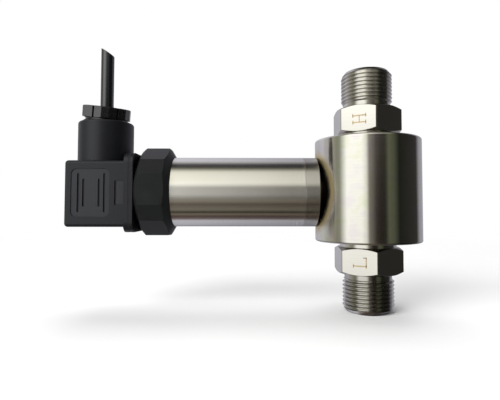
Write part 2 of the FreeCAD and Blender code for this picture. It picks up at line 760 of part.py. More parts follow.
def make_amplifier_chip(face):
    """Flat chip with a row of legs at each side."""
    start = board_near + size("chip_start")
    half = size("chip_width") / 2
    reach = half + size("chip_leg_reach")
    parts = [add_block(
        "chip_case", (face + size("chip_stand"), -half, start),
        (face + size("chip_height"), half, start + size("chip_length")),
    )]
    leg_size = size("chip_leg_size")
    row_length = size("chip_leg_pitch") * (CHIP_LEGS - 1) + leg_size
    first = start + (size("chip_length") - row_length) / 2
    for k in range(CHIP_LEGS):
        leg = first + size("chip_leg_pitch") * k
        for low, high in ((-reach, -half), (half, reach)):
            parts.append(add_block(
                "chip_leg", (face, low, leg), (face + leg_size, high, leg + leg_size)
            ))
    return group("amplifier_chip", parts)


def make_output_transistor(face):
    """Power transistor lying flat, its tab towards the board's middle."""
    trimmer_edge = board_far - size("trimmer_inset") - size("trimmer_side") / 2
    start = trimmer_edge - size("transistor_gap") - size("transistor_length")
    edge = -size("transistor_edge")
    inner = edge + size("transistor_width")
    tab = start + (size("transistor_length") - size("tab_length")) / 2
    return group("output_transistor", [
        add_block("transistor_case", (face, edge, start),
                  (face + size("transistor_height"), inner, start + size("transistor_length"))),
        add_block("transistor_tab", (face, inner, tab),
                  (face + size("tab_height"), inner + size("tab_reach"), tab + size("tab_length"))),
    ])


def make_chip_parts(face):
    """Two rows of small resistors and capacitors."""
    parts = []
    for middle in (-size("small_row"), size("small_row")):
        low = middle - size("small_width") / 2
        for k in range(SMALL_PARTS_A_ROW):
            start = board_near + size("small_start") + size("small_pitch") * k
            parts.append(add_block(
                "small_part", (face, low, start),
                (face + size("small_height"), low + size("small_width"), start + size("small_length")),
            ))
    return group("chip_parts", parts)


def make_trimmer(name, face, middle_y):
    """Small square trimmer with a slotted round adjuster."""
    body = add_body(name)
    lay_on_tube(body)
    half = size("trimmer_side") / 2
    top = face + size("trimmer_height")
    adjuster = size("adjuster_dia") / 2
    middle_z = board_far - size("trimmer_inset")
    case = add_sketch(body, "XY_Plane", middle_z - half)
    draw_box(case, face, top, middle_y - half, middle_y + half)
    pad(body, case, size("trimmer_side"))
    knob = add_sketch(body, "YZ_Plane", top)
    draw_circle(knob, adjuster, middle_y, middle_z)
    pad(body, knob, size("adjuster_height"))
    slot = add_sketch(body, "YZ_Plane", top + size("adjuster_height"))
    slit = size("adjuster_slit") / 2
    draw_box(slot, middle_y - slit, middle_y + slit, middle_z - adjuster, middle_z + adjuster)
    pocket(body, slot, size("adjuster_slot"))
    return body


def straight_lead(start, end):
    """Round wire between two local points of the tube's frame."""
    points = [FreeCAD.Vector(*[Term.of(p).value for p in place]) for place in (start, end)]
    run = points[1] - points[0]
    return Part.makeCylinder(size("lead_dia").value / 2, run.Length, points[0], run)


def add_leads(name, wires):
    """Several wires that make one node."""
    lead = doc.addObject("Part::Feature", name)
    lead.Shape = Part.makeCompound(wires)
    lead.Label = name
    lay_on_tube(lead)
    return lead


def lead_height():
    """Middle of a wire that lies on the board, above the board's middle."""
    return size("board_thick") / 2 + size("lead_dia") / 2 + size("fit_gap")


def make_sensor_leads():
    """A wire from each capsule pin straight to the board's upper or lower face."""
    start = size("capsule_dia") / 2 + size("pin_length") + size("lead_end_gap")
    end = board_near + size("holder_inset") + size("holder_thick") + size("lead_overlap")
    wires = []
    for x, y in pin_places():
        height = lead_height() if x.value >= 0 else -lead_height()
        wires.append(straight_lead((height, y, start), (height, y, end)))
    return add_leads("sensor_leads", wires)


def make_output_leads():
    """Three wires from the board, past its trimmers, to the tails of the contact blades."""
    start = board_far - size("holder_inset") - size("holder_thick")
    end = carrier_back - size("blade_tail") - size("lead_end_gap") - size("lead_dia") / 2
    height = lead_height()
    pitch = size("output_lead_pitch")
    radius = size("blade_circle") / 2
    wires = []
    for y, end_x, end_y in ((0, radius, 0), (pitch, height, radius), (-pitch, height, -radius)):
        wires.append(straight_lead((height, y, start), (end_x, end_y, end)))
    return add_leads("output_leads", wires)


# Adapter and contact carrier

def cut_corner_angles(first_flat, half_flat):
    """Angles of the corners of a hexagon whose six points are cut off."""
    angles = []
    for k in range(HEX_SIDES):
        middle = first_flat + FULL_TURN / HEX_SIDES * k
        angles += [middle - half_flat, middle + half_flat]
    return angles


def make_hex_adapter():
    """Black adapter: hexagon with cut corners and coned ends, and a spigot inside the tube."""
    body = add_body("hex_adapter")
    lay_on_tube(body)
    window = size("adapter_window") / 2
    corner = size("adapter_corners") / 2
    spigot = tube_inside - size("slip_gap")
    groove = tube_inside - size("ring_groove")
    groove_end = tube_end - size("groove_setback")
    groove_start = groove_end - size("ring_width") - 2 * size("fit_gap")
    carrier = size("carrier_dia") / 2 + size("fit_gap")
    spigot_end = tube_end - size("adapter_spigot")
    cone = size("adapter_cone")
    turn(body, [
        (window, spigot_end), (spigot, spigot_end), (spigot, groove_start), (groove, groove_start),
        (groove, groove_end), (spigot, groove_end), (spigot, tube_end),
        (size("adapter_tube_face") / 2, tube_end), (corner, tube_end + cone),
        (corner, flange_back - cone), (size("adapter_plug_face") / 2, flange_back),
        (carrier, flange_back), (carrier, carrier_back - size("fit_gap")),
        (window, carrier_back - size("fit_gap")),
    ])
    flats = add_sketch(body, "XY_Plane", tube_end)
    draw_circle(flats, corner + 1)
    front = size("adapter_turn") - QUARTER_TURN
    angles = cut_corner_angles(front, size("adapter_half_flat"))
    draw_outline(flats, polygon(size("adapter_corners"), angles))
    pocket(body, flats, -size("adapter_length"))
    return body


def make_adapter_seal():
    """Rubber ring in the adapter's groove, against the tube's wall."""
    body = add_body("adapter_seal")
    lay_on_tube(body)
    sketch = add_sketch(body, "XZ_Plane")
    middle = tube_inside - size("ring_groove") / 2
    height = tube_end - size("groove_setback") - size("fit_gap") - size("ring_width") / 2
    draw_slot(sketch, middle, height, size("ring_groove"), size("ring_width"), upright=True)
    revolve(body, sketch)
    return body


def draw_flange(sketch, inset):
    """The round-cornered square that flange, gasket and plug rim share, set back by an inset."""
    half = size("flange_side") / 2 - inset
    drop = size("flange_drop")
    draw_rounded_box(sketch, -half - drop, half - drop, -half, half, size("flange_corner") - inset)


def blade_boxes(gap_thick, gap_width):
    """Local corners of the four contacts in section: three blades, then the earth blade."""
    middle = size("blade_circle") / 2
    thick = size("blade_thick") / 2 + gap_thick
    wide = size("blade_width") / 2 + gap_width
    return [
        (middle - thick, middle + thick, -wide, wide),
        (-wide, wide, middle - thick, middle + thick),
        (-wide, wide, -middle - thick, -middle + thick),
        (-middle - thick, -middle + thick, -wide, wide),
    ]


def cut_blade_windows(body, start, depth, gap):
    """Cuts a window for each contact."""
    for box in blade_boxes(gap, gap):
        window = add_sketch(body, "XY_Plane", start)
        draw_box(window, *box)
        pocket(body, window, depth)


def make_contact_carrier():
    """Black carrier of the contacts: square flange and round part inside the adapter."""
    body = add_body("contact_carrier")
    lay_on_tube(body)
    flange = add_sketch(body, "XY_Plane", flange_back)
    draw_flange(flange, Term.of(0))
    pad(body, flange, size("flange_thick"))
    round_part = add_sketch(body, "XY_Plane", flange_back)
    draw_circle(round_part, size("carrier_dia") / 2)
    pad(body, round_part, size("carrier_depth"), backwards=True)
    whole_depth = size("carrier_depth") + size("flange_thick")
    cut_blade_windows(body, flange_front, whole_depth, size("blade_fit"))
    hole = add_sketch(body, "XY_Plane", flange_front)
    draw_circle(hole, size("nut_insert_dia") / 2)
    pocket(body, hole, size("nut_insert_length"))
    return body


def make_thread_insert():
    """Brass insert for the fixing screw."""
    body = add_body("thread_insert")
    lay_on_tube(body)
    start = flange_front - size("nut_insert_length")
    bore = size("screw_dia") / 2 + size("fit_gap")
    outer = size("nut_insert_dia") / 2
    turn(body, [(bore, start), (outer, start), (outer, flange_front), (bore, flange_front)])
    return body


def make_blades():
    """Three contact blades and the earth blade."""
    back = carrier_back - size("blade_tail")
    front = flange_front + size("blade_reach")
    blades = []
    for box in blade_boxes(0, 0):
        x_low, x_high, y_low, y_high = box
        blades.append(add_block("blade", (x_low, y_low, back), (x_high, y_high, front)))
    return [group("contact_blades", blades[:3]), group("earth_blade", blades[3:])]


def make_flange_gasket():
    """Flat rubber gasket between the flange and the plug, with a window for each contact."""
    body = add_body("flange_gasket")
    lay_on_tube(body)
    sheet_sketch = add_sketch(body, "XY_Plane", flange_front)
    draw_flange(sheet_sketch, size("gasket_inset"))
    pad(body, sheet_sketch, size("gasket_thick"))
    cut_blade_windows(body, gasket_front, size("gasket_thick"), size("gasket_gap"))
    hole = add_sketch(body, "XY_Plane", gasket_front)
    draw_circle(hole, size("nut_insert_dia") / 2)
    pocket(body, hole, size("gasket_thick"))
    return body


# Plug

def make_plug_housing():
    """Black plug shell: rim, block with its cavity, cable turret, side panels and screw recess."""
    body = add_body("plug_housing")
    lay_on_tube(body)
    half_width = size("plug_width") / 2
    above = size("plug_above")
    block = add_sketch(body, "XY_Plane", rim_back)
    draw_box(block, -size("plug_below"), above, -half_width, half_width)
    pad(body, block, size("plug_length"))
    round_edges(body, size("plug_edge"), parallel_to(0, 0, 1))
    round_edges(body, size("plug_edge"), at_height(plug_back, Term.of(0)))
    rim = add_sketch(body, "XY_Plane", gasket_front)
    draw_flange(rim, Term.of(0))
    pad(body, rim, size("rim_thick"))
    turret = add_sketch(body, "YZ_Plane", above - size("plug_edge"))
    draw_circle(turret, size("turret_dia") / 2, 0, turret_line)
    pad(body, turret, size("turret_top") - above + size("plug_edge"))

    def turret_rim(edge):
        return all(abs(v.Point.x - size("turret_top").value) < HAIR for v in edge.Vertexes)

    round_edges(body, size("turret_edge"), turret_rim)
    cavity = add_sketch(body, "XY_Plane", gasket_front)
    half = size("cavity_side") / 2
    draw_box(cavity, -half, half, -half, half)
    pocket(body, cavity, -size("cavity_depth"))
    bore = add_sketch(body, "YZ_Plane", size("turret_top"))
    draw_circle(bore, size("gland_bore") / 2, 0, turret_line)
    pocket(body, bore, size("turret_top") - size("gland_floor"))
    hole = add_sketch(body, "YZ_Plane", size("gland_floor"))
    draw_circle(hole, size("cable_hole") / 2, 0, turret_line)
    pocket(body, hole, size("gland_floor") - half)
    recess = add_sketch(body, "XY_Plane", plug_back)
    draw_circle(recess, size("head_recess_dia") / 2)
    pocket(body, recess, size("head_recess"))
    screw = add_sketch(body, "XY_Plane", recess_floor)
    draw_circle(screw, size("screw_dia") / 2 + size("screw_hole_gap"))
    pocket(body, screw, recess_floor - gasket_front - size("cavity_depth"))
    for side in (-1, 1):
        cut_side_panel(body, side)
    return body


def cut_side_panel(body, side):
    """Shallow rounded panel with four grooves, and the latch beside it with its two seams."""
    face = size("plug_width") / 2 * -side
    low, high = -size("panel_below"), size("panel_above")
    near, far = rim_back + size("panel_right"), rim_back + size("panel_left")
    width = size("bar_width")
    panel = add_sketch(body, "XZ_Plane", face)
    draw_rounded_box(panel, low, high, near, far, size("panel_corner"))
    pocket(body, panel, side * size("panel_depth"))
    deep = size("panel_depth") + size("bar_depth")
    middle = (high + low) / 2
    for apart, long in ((size("bar_outer"), size("bar_long")), (size("bar_inner"), size("bar_short"))):
        for way in (-1, 1):
            groove = add_sketch(body, "XZ_Plane", face)
            line = rim_back + size("bar_middle") + apart / 2 * way
            draw_slot(groove, middle, line, long, width)
            pocket(body, groove, side * deep)
    latch = add_sketch(body, "XZ_Plane", face)
    line = rim_back + size("latch_setback")
    half = size("latch_height") / 2
    draw_box(latch, middle - half, middle + half, line - width / 2, line + width / 2)
    pocket(body, latch, side * size("bar_depth"))
    for edge in (middle - half, middle + half - size("latch_seam")):
        seam = add_sketch(body, "XZ_Plane", face)
        draw_box(seam, edge, edge + size("latch_seam"), rim_back, line)
        pocket(body, seam, side * size("latch_seam_depth"))


def make_plug_insert():
    """Terminal block that holds the socket contacts."""
    body = add_body("plug_insert")
    lay_on_tube(body)
    half = size("cavity_side") / 2 - size("insert_gap")
    block = add_sketch(body, "XY_Plane", insert_front)
    draw_box(block, -half, half, -half, half)
    pad(body, block, size("insert_depth"))
    room = size("blade_gap") + size("socket_wall") + size("fit_gap")
    cut_blade_windows(body, insert_front, -size("insert_depth"), room)
    hole = add_sketch(body, "XY_Plane", insert_front)
    draw_circle(hole, size("screw_dia") / 2 + size("screw_hole_gap"))
    pocket(body, hole, -size("insert_depth"))
    return body


def make_socket_contacts():
    """Four brass sleeves that take the blades, closed towards the terminal screws."""
    start = insert_front + size("socket_setback")
    sleeves = []
    wall = size("blade_gap") + size("socket_wall")
    for k, (outer, inner) in enumerate(zip(
        blade_boxes(wall, wall), blade_boxes(size("blade_gap"), size("blade_gap"))
    )):
        case = add_block("socket_case", (outer[0], outer[2], start), (outer[1], outer[3], insert_back))
        room = add_block(
            "socket_room", (inner[0], inner[2], start - 1),
            (inner[1], inner[3], flange_front + size("blade_reach") + size("blade_gap")),
        )
        sleeve = doc.addObject("Part::Cut", f"socket_{k}")
        sleeve.Base = case
        sleeve.Tool = room
        sleeves.append(sleeve)
    return group("socket_contacts", sleeves)


def make_terminal_screws():
    """A slotted terminal screw behind each socket contact."""
    screws = []
    circle = size("terminal_circle") / 2
    for k, (x, y) in enumerate(((circle, 0), (0, circle), (0, -circle), (-circle, 0))):
        seat = (x, y, insert_back)
        head = add_cylinder("head", size("terminal_dia"), size("terminal_head"), seat)
        low = insert_back + size("terminal_head") / 2
        half = size("slot_width") / 2
        reach = size("terminal_dia")
        slot = add_block(
            "terminal_slot", (x - half, y - reach, low),
            (x + half, y + reach, low + size("terminal_head")),
        )
        screw = doc.addObject("Part::Cut", f"terminal_{k}")
        screw.Base = head
        screw.Tool = slot
        screws.append(screw)
    return group("terminal_screws", screws)


def make_centre_screw():
    """Long fixing screw on the tube's axis, with a slotted head sunk in the plug's back."""
    body = add_body("centre_screw")
    lay_on_tube(body)
    shank = size("screw_dia") / 2
    head = size("screw_head_dia") / 2
    start = flange_front - size("screw_reach")
    seat = recess_floor + size("screw_washer_thick")
    top = seat + size("screw_head")
    point = shank / 2
    turn(body, [(0, start), (shank - point, start), (shank, start + point), (shank, seat),
                (head, seat), (head, top), (0, top)])
    slot = add_sketch(body, "XY_Plane", top)
    half = size("slot_width") / 2
    draw_box(slot, -half, half, -head - 1, head + 1)
    pocket(body, slot, size("screw_slot"))
    return body


def make_screw_washer():
    """Washer under the fixing screw's head."""
    body = add_body("screw_washer")
    lay_on_tube(body)
    hole = size("screw_dia") / 2 + size("screw_hole_gap") / 2
    outer = size("screw_washer_dia") / 2
    top = recess_floor + size("screw_washer_thick")
    turn(body, [(hole, recess_floor), (outer, recess_floor), (outer, top), (hole, top)])
    return body


# Cable gland and cable

def make_gland_nut():
    """Gland nut: head with cut corners and a groove in each flat, and its threaded part below.

    It sits a little askew in the turret.
    """
    body = add_body("gland_nut")
    lean = FreeCAD.Rotation(FreeCAD.Vector(0, 1, 0), size("gland_lean").value)
    nod = FreeCAD.Rotation(FreeCAD.Vector(1, 0, 0), size("gland_nod").value)
    body.Placement = FreeCAD.Placement(FreeCAD.Vector(0, 0, 0), nod * lean)
    stand_upright(body, turret_line, axis_height + size("gland_rest"))
    hole = size("gland_hole") / 2
    thread = size("gland_thread") / 2
    corner = size("gland_corners") / 2
    edge = size("gland_edge")
    top = size("gland_height")
    turn(body, [(hole, -size("gland_reach")), (thread - edge, -size("gland_reach")),
                (thread, edge - size("gland_reach")), (thread, 0), (corner - edge, 0), (corner, edge),
                (corner, top - edge), (corner - edge, top), (hole, top)])
    flats = add_sketch(body, "XY_Plane")
    draw_circle(flats, corner + 1)
    turned = size("gland_turn") - FULL_TURN / HEX_SIDES
    angles = cut_corner_angles(turned, size("gland_half_flat"))
    draw_outline(flats, polygon(size("gland_corners"), angles))
    pocket(body, flats, -top)
    groove = add_sketch(body, "XY_Plane")
    apothem = corner * cosine(size("gland_half_flat"))
    half = size("gland_slit") / 2
    points = []
    for radial, across in ((apothem - size("gland_slit_depth"), -half), (corner + 1, -half),
                           (corner + 1, half), (apothem - size("gland_slit_depth"), half)):
        points.append((radial * cosine(turned) - across * sine(turned),
                       radial * sine(turned) + across * cosine(turned)))
    draw_outline(groove, points)
    repeat_round(body, pocket(body, groove, -top), HEX_SIDES)
    return body


def make_gland_washer():
    """Washer between the gland nut and the cable seal."""
    body = add_body("gland_washer")
    stand_upright(body, turret_line, axis_height + size("gland_seal_top"))
    outer = size("gland_bore") / 2 - size("gland_washer_gap")
    hole = size("gland_washer_hole") / 2
    top = size("gland_washer_thick")
    turn(body, [(hole, 0), (outer, 0), (outer, top), (hole, top)])
    return body


def make_cable_seal():
    """Rubber sleeve round the cable, in the turret."""
    body = add_body("cable_seal")
    stand_upright(body, turret_line, axis_height)
    outer = size("gland_bore") / 2 - size("gland_seal_gap")
    hole = size("cable_dia") / 2 + size("fit_gap")
    low, top = size("gland_floor"), size("gland_seal_top")
    turn(body, [(hole, low), (outer, low), (outer, top), (hole, top)])
    return body


def make_cable_jacket():
    """Cable jacket, straight up through the gland to its slanted cut end."""
    body = add_body("cable_jacket")
    stand_upright(body, turret_line, axis_height)
    outer = size("cable_dia") / 2
    inner = outer - size("jacket_wall")
    low, top = size("cable_start"), size("cable_top")
    turn(body, [(inner, low), (outer, low), (outer, top), (inner, top)])
    cut = add_sketch(body, "XZ_Plane", -size("cable_dia"))
    fall = size("cable_dia") * tangent(size("cable_cut"))
    draw_outline(cut, [(-outer, top), (outer, top - fall), (outer, top + 1), (-outer, top + 1)])
    pocket(body, cut, 2 * size("cable_dia"))
    return body


def make_cable_cores():
    """Three insulated cores inside the jacket, cut off with it."""
    step = FULL_TURN / CORES
    ring = size("core_dia") / 2 / sine(step / 2) + size("fit_gap") / 2
    outer = size("cable_dia") / 2
    top = size("cable_top")
    cores = []
    for k in range(CORES):
        angle = QUARTER_TURN + step * k
        x, y = ring * cosine(angle), ring * sine(angle)
        drop = (outer + x + size("core_dia") / 2) * tangent(size("cable_cut"))
        low = axis_height + size("cable_start") - size("core_tail")
        height = top - drop - size("cable_start") + size("core_tail")
        cores.append(add_cylinder(
            f"core_{k}", size("core_dia"), height, (x - turret_line, y, low), frame=None
        ))
    return group("cable_cores", cores)


# The whole transmitter

pieces = [make_sensor_body(), make_pressure_capsule(), make_capsule_pins()]
for port_side in PORT_SIDES:
    pieces.append(make_port_fitting(port_side))
    pieces.append(make_diaphragm(port_side))
    pieces.append(make_port_seal(port_side))
pieces += [make_neck_ring(), make_housing_tube(), make_circuit_board()]
pieces.append(make_board_holder("front_board_holder", board_near + size("holder_inset")))
pieces.append(make_board_holder(
    "rear_board_holder", board_far - size("holder_inset") - size("holder_thick")
))
board_face = size("board_thick") / 2
pieces += [make_amplifier_chip(board_face), make_output_transistor(board_face)]
pieces.append(make_chip_parts(board_face))
pieces.append(make_trimmer("zero_trimmer", board_face, -size("trimmer_middle")))
pieces.append(make_trimmer("span_trimmer", board_face, size("trimmer_middle")))
pieces += [make_sensor_leads(), make_output_leads()]
pieces += [make_hex_adapter(), make_adapter_seal(), make_contact_carrier(), make_thread_insert()]
pieces += make_blades()
pieces += [make_flange_gasket(), make_plug_housing(), make_plug_insert()]
pieces += [make_socket_contacts(), make_terminal_screws()]
pieces += [make_centre_screw(), make_screw_washer()]
pieces += [make_gland_nut(), make_gland_washer(), make_cable_seal()]
pieces += [make_cable_jacket(), make_cable_cores()]

# Checks and files

doc.recompute()
for thing in doc.Objects:
    if "Invalid" in thing.State or "Error" in thing.State:
        raise RuntimeError(f"{thing.Label} failed: {thing.State}")
os.makedirs("parts", exist_ok=True)
for piece in pieces:
    shape = piece.Shape
    if shape.isNull() or not shape.isValid() or not shape.Solids:
        raise RuntimeError(f"{piece.Label} has no valid solid")
    shape.exportStep(f"parts/{piece.Label}.step")
    print(f"{piece.Label}: {len(shape.Solids)} solids, {shape.Volume:.1f} mm3")
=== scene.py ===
"""Looks of the differential pressure transmitter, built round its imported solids."""
import logging
import math
from dataclasses import dataclass
from enum import Enum
from typing import Iterable, Sequence

import bmesh
import bpy
from mathutils import Matrix, Vector


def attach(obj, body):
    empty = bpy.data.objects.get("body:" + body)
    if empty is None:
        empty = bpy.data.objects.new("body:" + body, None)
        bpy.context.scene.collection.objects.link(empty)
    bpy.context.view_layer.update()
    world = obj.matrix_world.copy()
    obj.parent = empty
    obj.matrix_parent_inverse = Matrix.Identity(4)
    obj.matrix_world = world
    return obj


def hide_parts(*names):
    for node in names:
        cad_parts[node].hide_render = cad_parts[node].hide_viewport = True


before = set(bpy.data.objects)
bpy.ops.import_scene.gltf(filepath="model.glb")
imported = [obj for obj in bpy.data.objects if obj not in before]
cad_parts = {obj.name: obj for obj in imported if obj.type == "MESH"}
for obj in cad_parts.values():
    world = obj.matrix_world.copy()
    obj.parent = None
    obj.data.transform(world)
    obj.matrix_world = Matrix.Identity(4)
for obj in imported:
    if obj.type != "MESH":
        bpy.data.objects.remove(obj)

log = logging.getLogger("transmitter")
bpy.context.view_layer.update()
Colour = tuple[float, float, float]
Point = tuple[float, float, float]
Span = tuple[float, float]
Stops = Sequence[tuple[float, Colour]]

MM = 0.001
AXIS_HEIGHT = 47.1
BLACK: Colour = (0.0, 0.0, 0.0)
WHITE: Colour = (1.0, 1.0, 1.0)


class Side(Enum):
    """The two pressure ports."""

    HIGH = "high"
    LOW = "low"


class Turning(Enum):
    """The axis that a part was turned on, as direction and a point on it in millimetres."""

    PORTS = ((0.0, 0.0, 1.0), (0.0, 0.0, 0.0))
    TUBE = ((-1.0, 0.0, 0.0), (0.0, 0.0, AXIS_HEIGHT))


def in_metres(lengths: Sequence[float]) -> tuple[float, ...]:
    """Lengths in millimetres as lengths in metres.

    Args:
        lengths: The lengths in millimetres.

    Returns:
        The same lengths in metres.
    """
    return tuple(length * MM for length in lengths)


# Node helpers

class Graph:
    """A node tree with short calls for adding and joining nodes."""

    def __init__(self, tree: bpy.types.NodeTree) -> None:
        """Keeps the tree.

        Args:
            tree: The tree that the calls add to.
        """
        self.tree = tree

    def add(self, kind: str, **settings: object) -> bpy.types.Node:
        """Adds a node.

        Args:
            kind: The node's type name.
            settings: Node properties by name.

        Returns:
            The new node.
        """
        node = self.tree.nodes.new(kind)
        for name, value in settings.items():
            setattr(node, name, value)
        return node

    def put(self, socket: bpy.types.NodeSocket, value: object) -> None:
        """Sets a socket to a value, or joins it to an output.

        Args:
            socket: The input.
            value: A socket, a number or a tuple of numbers.
        """
        if isinstance(value, bpy.types.NodeSocket):
            self.tree.links.new(value, socket)
        else:
            socket.default_value = value

    def feed(self, node: bpy.types.Node, values: dict[str, object]) -> bpy.types.Node:
        """Puts values into a node's inputs by their names.

        Args:
            node: The node.
            values: A socket, a number or a tuple of numbers for each name.

        Returns:
            The same node.
        """
        for name, value in values.items():
            self.put(node.inputs[name], value)
        return node

    def result(self, node: bpy.types.Node, *values: object) -> bpy.types.NodeSocket:
        """Puts values into the inputs that a node uses, in their order.

        Args:
            node: The node.
            values: Sockets, numbers or tuples of numbers.

        Returns:
            The first output that the node uses.
        """
        for socket, value in zip([socket for socket in node.inputs if socket.enabled], values):
            self.put(socket, value)
        return next(socket for socket in node.outputs if socket.enabled)

    def math(self, operation: str, *values: object) -> bpy.types.NodeSocket:
        """The number that a Math node makes of its inputs."""
        return self.result(self.add("ShaderNodeMath", operation=operation), *values)

    def vector(self, operation: str, *values: object) -> bpy.types.NodeSocket:
        """The vector or number that a Vector Math node makes of its inputs."""
        return self.result(self.add("ShaderNodeVectorMath", operation=operation), *values)

    def clamp(self, value: object, low: object, high: object) -> bpy.types.NodeSocket:
        """A number held between two others."""
        return self.math("MINIMUM", self.math("MAXIMUM", value, low), high)

    def fit(
        self, value: object, source: Sequence[object], target: Sequence[object] = (0.0, 1.0),
        smooth: bool = True,
    ) -> bpy.types.NodeSocket:
        """Takes a number from one range to another, and holds it at the ends.

        Args:
            value: The number.
            source: The two ends of its own range.
            target: The two ends of the new range.
            smooth: Whether it eases in and out.

        Returns:
            The new number.
        """
        style = "SMOOTHSTEP" if smooth else "LINEAR"
        return self.result(self.add("ShaderNodeMapRange", interpolation_type=style), value, *source, *target)

    def blend(
        self, factor: object, low: object, high: object, kind: str = "RGBA", mode: str = "MIX"
    ) -> bpy.types.NodeSocket:
        """Mixes two colours or numbers.

        Args:
            factor: 0 for the first and 1 for the second.
            low: The first.
            high: The second.
            kind: The Mix node's type of data.
            mode: How two colours are mixed.

        Returns:
            The mixture.
        """
        return self.result(self.add("ShaderNodeMix", data_type=kind, blend_type=mode), factor, low, high)

    def ramp(self, factor: object, stops: Stops) -> bpy.types.NodeSocket:
        """A colour ramp's colour.

        Args:
            factor: What drives the ramp.
            stops: Places from 0 to 1 and their colours.

        Returns:
            The colour output.
        """
        node = self.add("ShaderNodeValToRGB")
        elements = node.color_ramp.elements
        while len(elements) < len(stops):
            elements.new(0.5)
        for element, (place, colour) in zip(elements, stops):
            element.position = place
            element.color = (*colour, 1.0)
        return self.result(node, factor)

    def noise(
        self, place: object, scale: float, detail: float = 2.0, line: bool = False
    ) -> bpy.types.NodeSocket:
        """A noise texture's value.

        Args:
            place: Where it is read: a point, or a distance for noise along a line.
            scale: Its scale per metre.
            detail: Its detail.
            line: Whether it changes along a line only.

        Returns:
            The factor output.
        """
        node = self.add("ShaderNodeTexNoise", noise_dimensions="1D" if line else "3D")
        self.feed(node, {"W" if line else "Vector": place, "Scale": scale, "Detail": detail})
        return node.outputs["Fac"]

    def place(self) -> bpy.types.NodeSocket:
        """Object coordinates."""
        return self.add("ShaderNodeTexCoord").outputs["Object"]

    def axes(self, vector: object) -> Sequence[bpy.types.NodeSocket]:
        """The X, Y and Z of a vector."""
        node = self.add("ShaderNodeSeparateXYZ")
        self.put(node.inputs[0], vector)
        return tuple(node.outputs)


def new_material(name: str) -> tuple[bpy.types.Material, Graph, bpy.types.Node]:
    """Starts a material.

    Args:
        name: The material's name.

    Returns:
        The material, its graph and its Principled shader.
    """
    material = bpy.data.materials.new(name)
    material.use_nodes = True
    graph = Graph(material.node_tree)
    shader = material.node_tree.nodes["Principled BSDF"]
    return material, graph, shader


def mottled(graph: Graph, cloud: object, colour: Colour, spread: float) -> bpy.types.NodeSocket:
    """A colour that drifts a little darker and lighter.

    Args:
        graph: The material's graph.
        cloud: The noise that it follows.
        colour: The middle colour.
        spread: The share by which it changes either way.

    Returns:
        The colour output.
    """
    dark = tuple(value * (1.0 - spread) for value in colour)
    light = tuple(min(1.0, value * (1.0 + spread)) for value in colour)
    return graph.ramp(cloud, ((0.3, dark), (0.7, light)))


def uneven(graph: Graph, cloud: object, middle: float, play: float) -> bpy.types.NodeSocket:
    """A roughness that drifts with a noise.

    Args:
        graph: The material's graph.
        cloud: The noise that it follows.
        middle: The middle roughness.
        play: How far it goes either way.

    Returns:
        The roughness output.
    """
    return graph.math("ADD", graph.math("MULTIPLY", cloud, 2.0 * play), middle - play)


# Finishes

@dataclass(frozen=True)
class RecessShade:
    """Painted shade that darkens the thread roots and the necks, where shade falls, but no end face. Radii
    are in millimetres.
    """

    radii: Span = (8.6, 9.8)
    darkest: float = 0.64
    end_facing: float = 0.9

    def apply(
        self, graph: Graph, radius: object, facing: object, colour: object
    ) -> bpy.types.NodeSocket:
        """Paints shade into a steel's thread roots and necks.

        Args:
            graph: The material's graph.
            radius: Distance from the turning axis.
            facing: How much the surface faces along the axis.
            colour: The plain colour.

        Returns:
            The colour with painted shade.
        """
        # Painted shade: thread roots and necks grow darker as the radius shrinks, and end faces are left
        # out.
        unshaded = graph.fit(radius, in_metres(self.radii), (self.darkest, 1.0))
        end = graph.math("GREATER_THAN", facing, self.end_facing)
        return graph.vector("SCALE", colour, graph.math("MAXIMUM", unshaded, end))


@dataclass(frozen=True)
class HeatTintAndGapShade:
    """Duller straw-coloured heat tint round the neck's joint, with painted shade of the gap between end ring
    and body as a dark band inside. Lengths are in millimetres.
    """

    joint: Point = (-20.7, 0.0, AXIS_HEIGHT)
    squash: Point = (1.0, 1.0, 0.9)
    wander: float = 1.2
    wander_scale: float = 260.0
    gap_shade_edge: Span = (11.4, 13.8)
    outer_edge: Span = (13.4, 16.9)
    strength: float = 0.9
    dullness: float = 0.5
    # The first tone is painted shade of the gap at the joint, and the second is the straw heat tint.
    tones: Stops = ((0.2, (0.10, 0.080, 0.065)), (0.95, (0.32, 0.245, 0.085)))

    def apply(
        self, graph: Graph, place: object, colour: object
    ) -> tuple[bpy.types.NodeSocket, bpy.types.NodeSocket]:
        """Tints a steel.

        Args:
            graph: The material's graph.
            place: Object coordinates.
            colour: The plain colour.

        Returns:
            The colour with heat tint and painted shade, and how metallic it is.
        """
        offset = graph.vector("SUBTRACT", place, in_metres(self.joint))
        distance = graph.vector("LENGTH", graph.vector("MULTIPLY", offset, self.squash))
        wander = graph.math("MULTIPLY", graph.noise(place, self.wander_scale), self.wander * MM)
        reach = graph.math("ADD", distance, wander)
        amount = graph.fit(reach, in_metres(self.outer_edge), (self.strength, 0.0))
        # Painted shade: close to the joint the colour ramps to near black, standing for the shadowed gap
        # between end ring and body.
        rise = graph.fit(reach, in_metres(self.gap_shade_edge))
        dull = graph.math("MULTIPLY", graph.math("MULTIPLY", amount, rise), -self.dullness)
        tinted_and_shaded = graph.blend(amount, colour, graph.ramp(rise, self.tones))
        return tinted_and_shaded, graph.math("ADD", dull, 1.0)


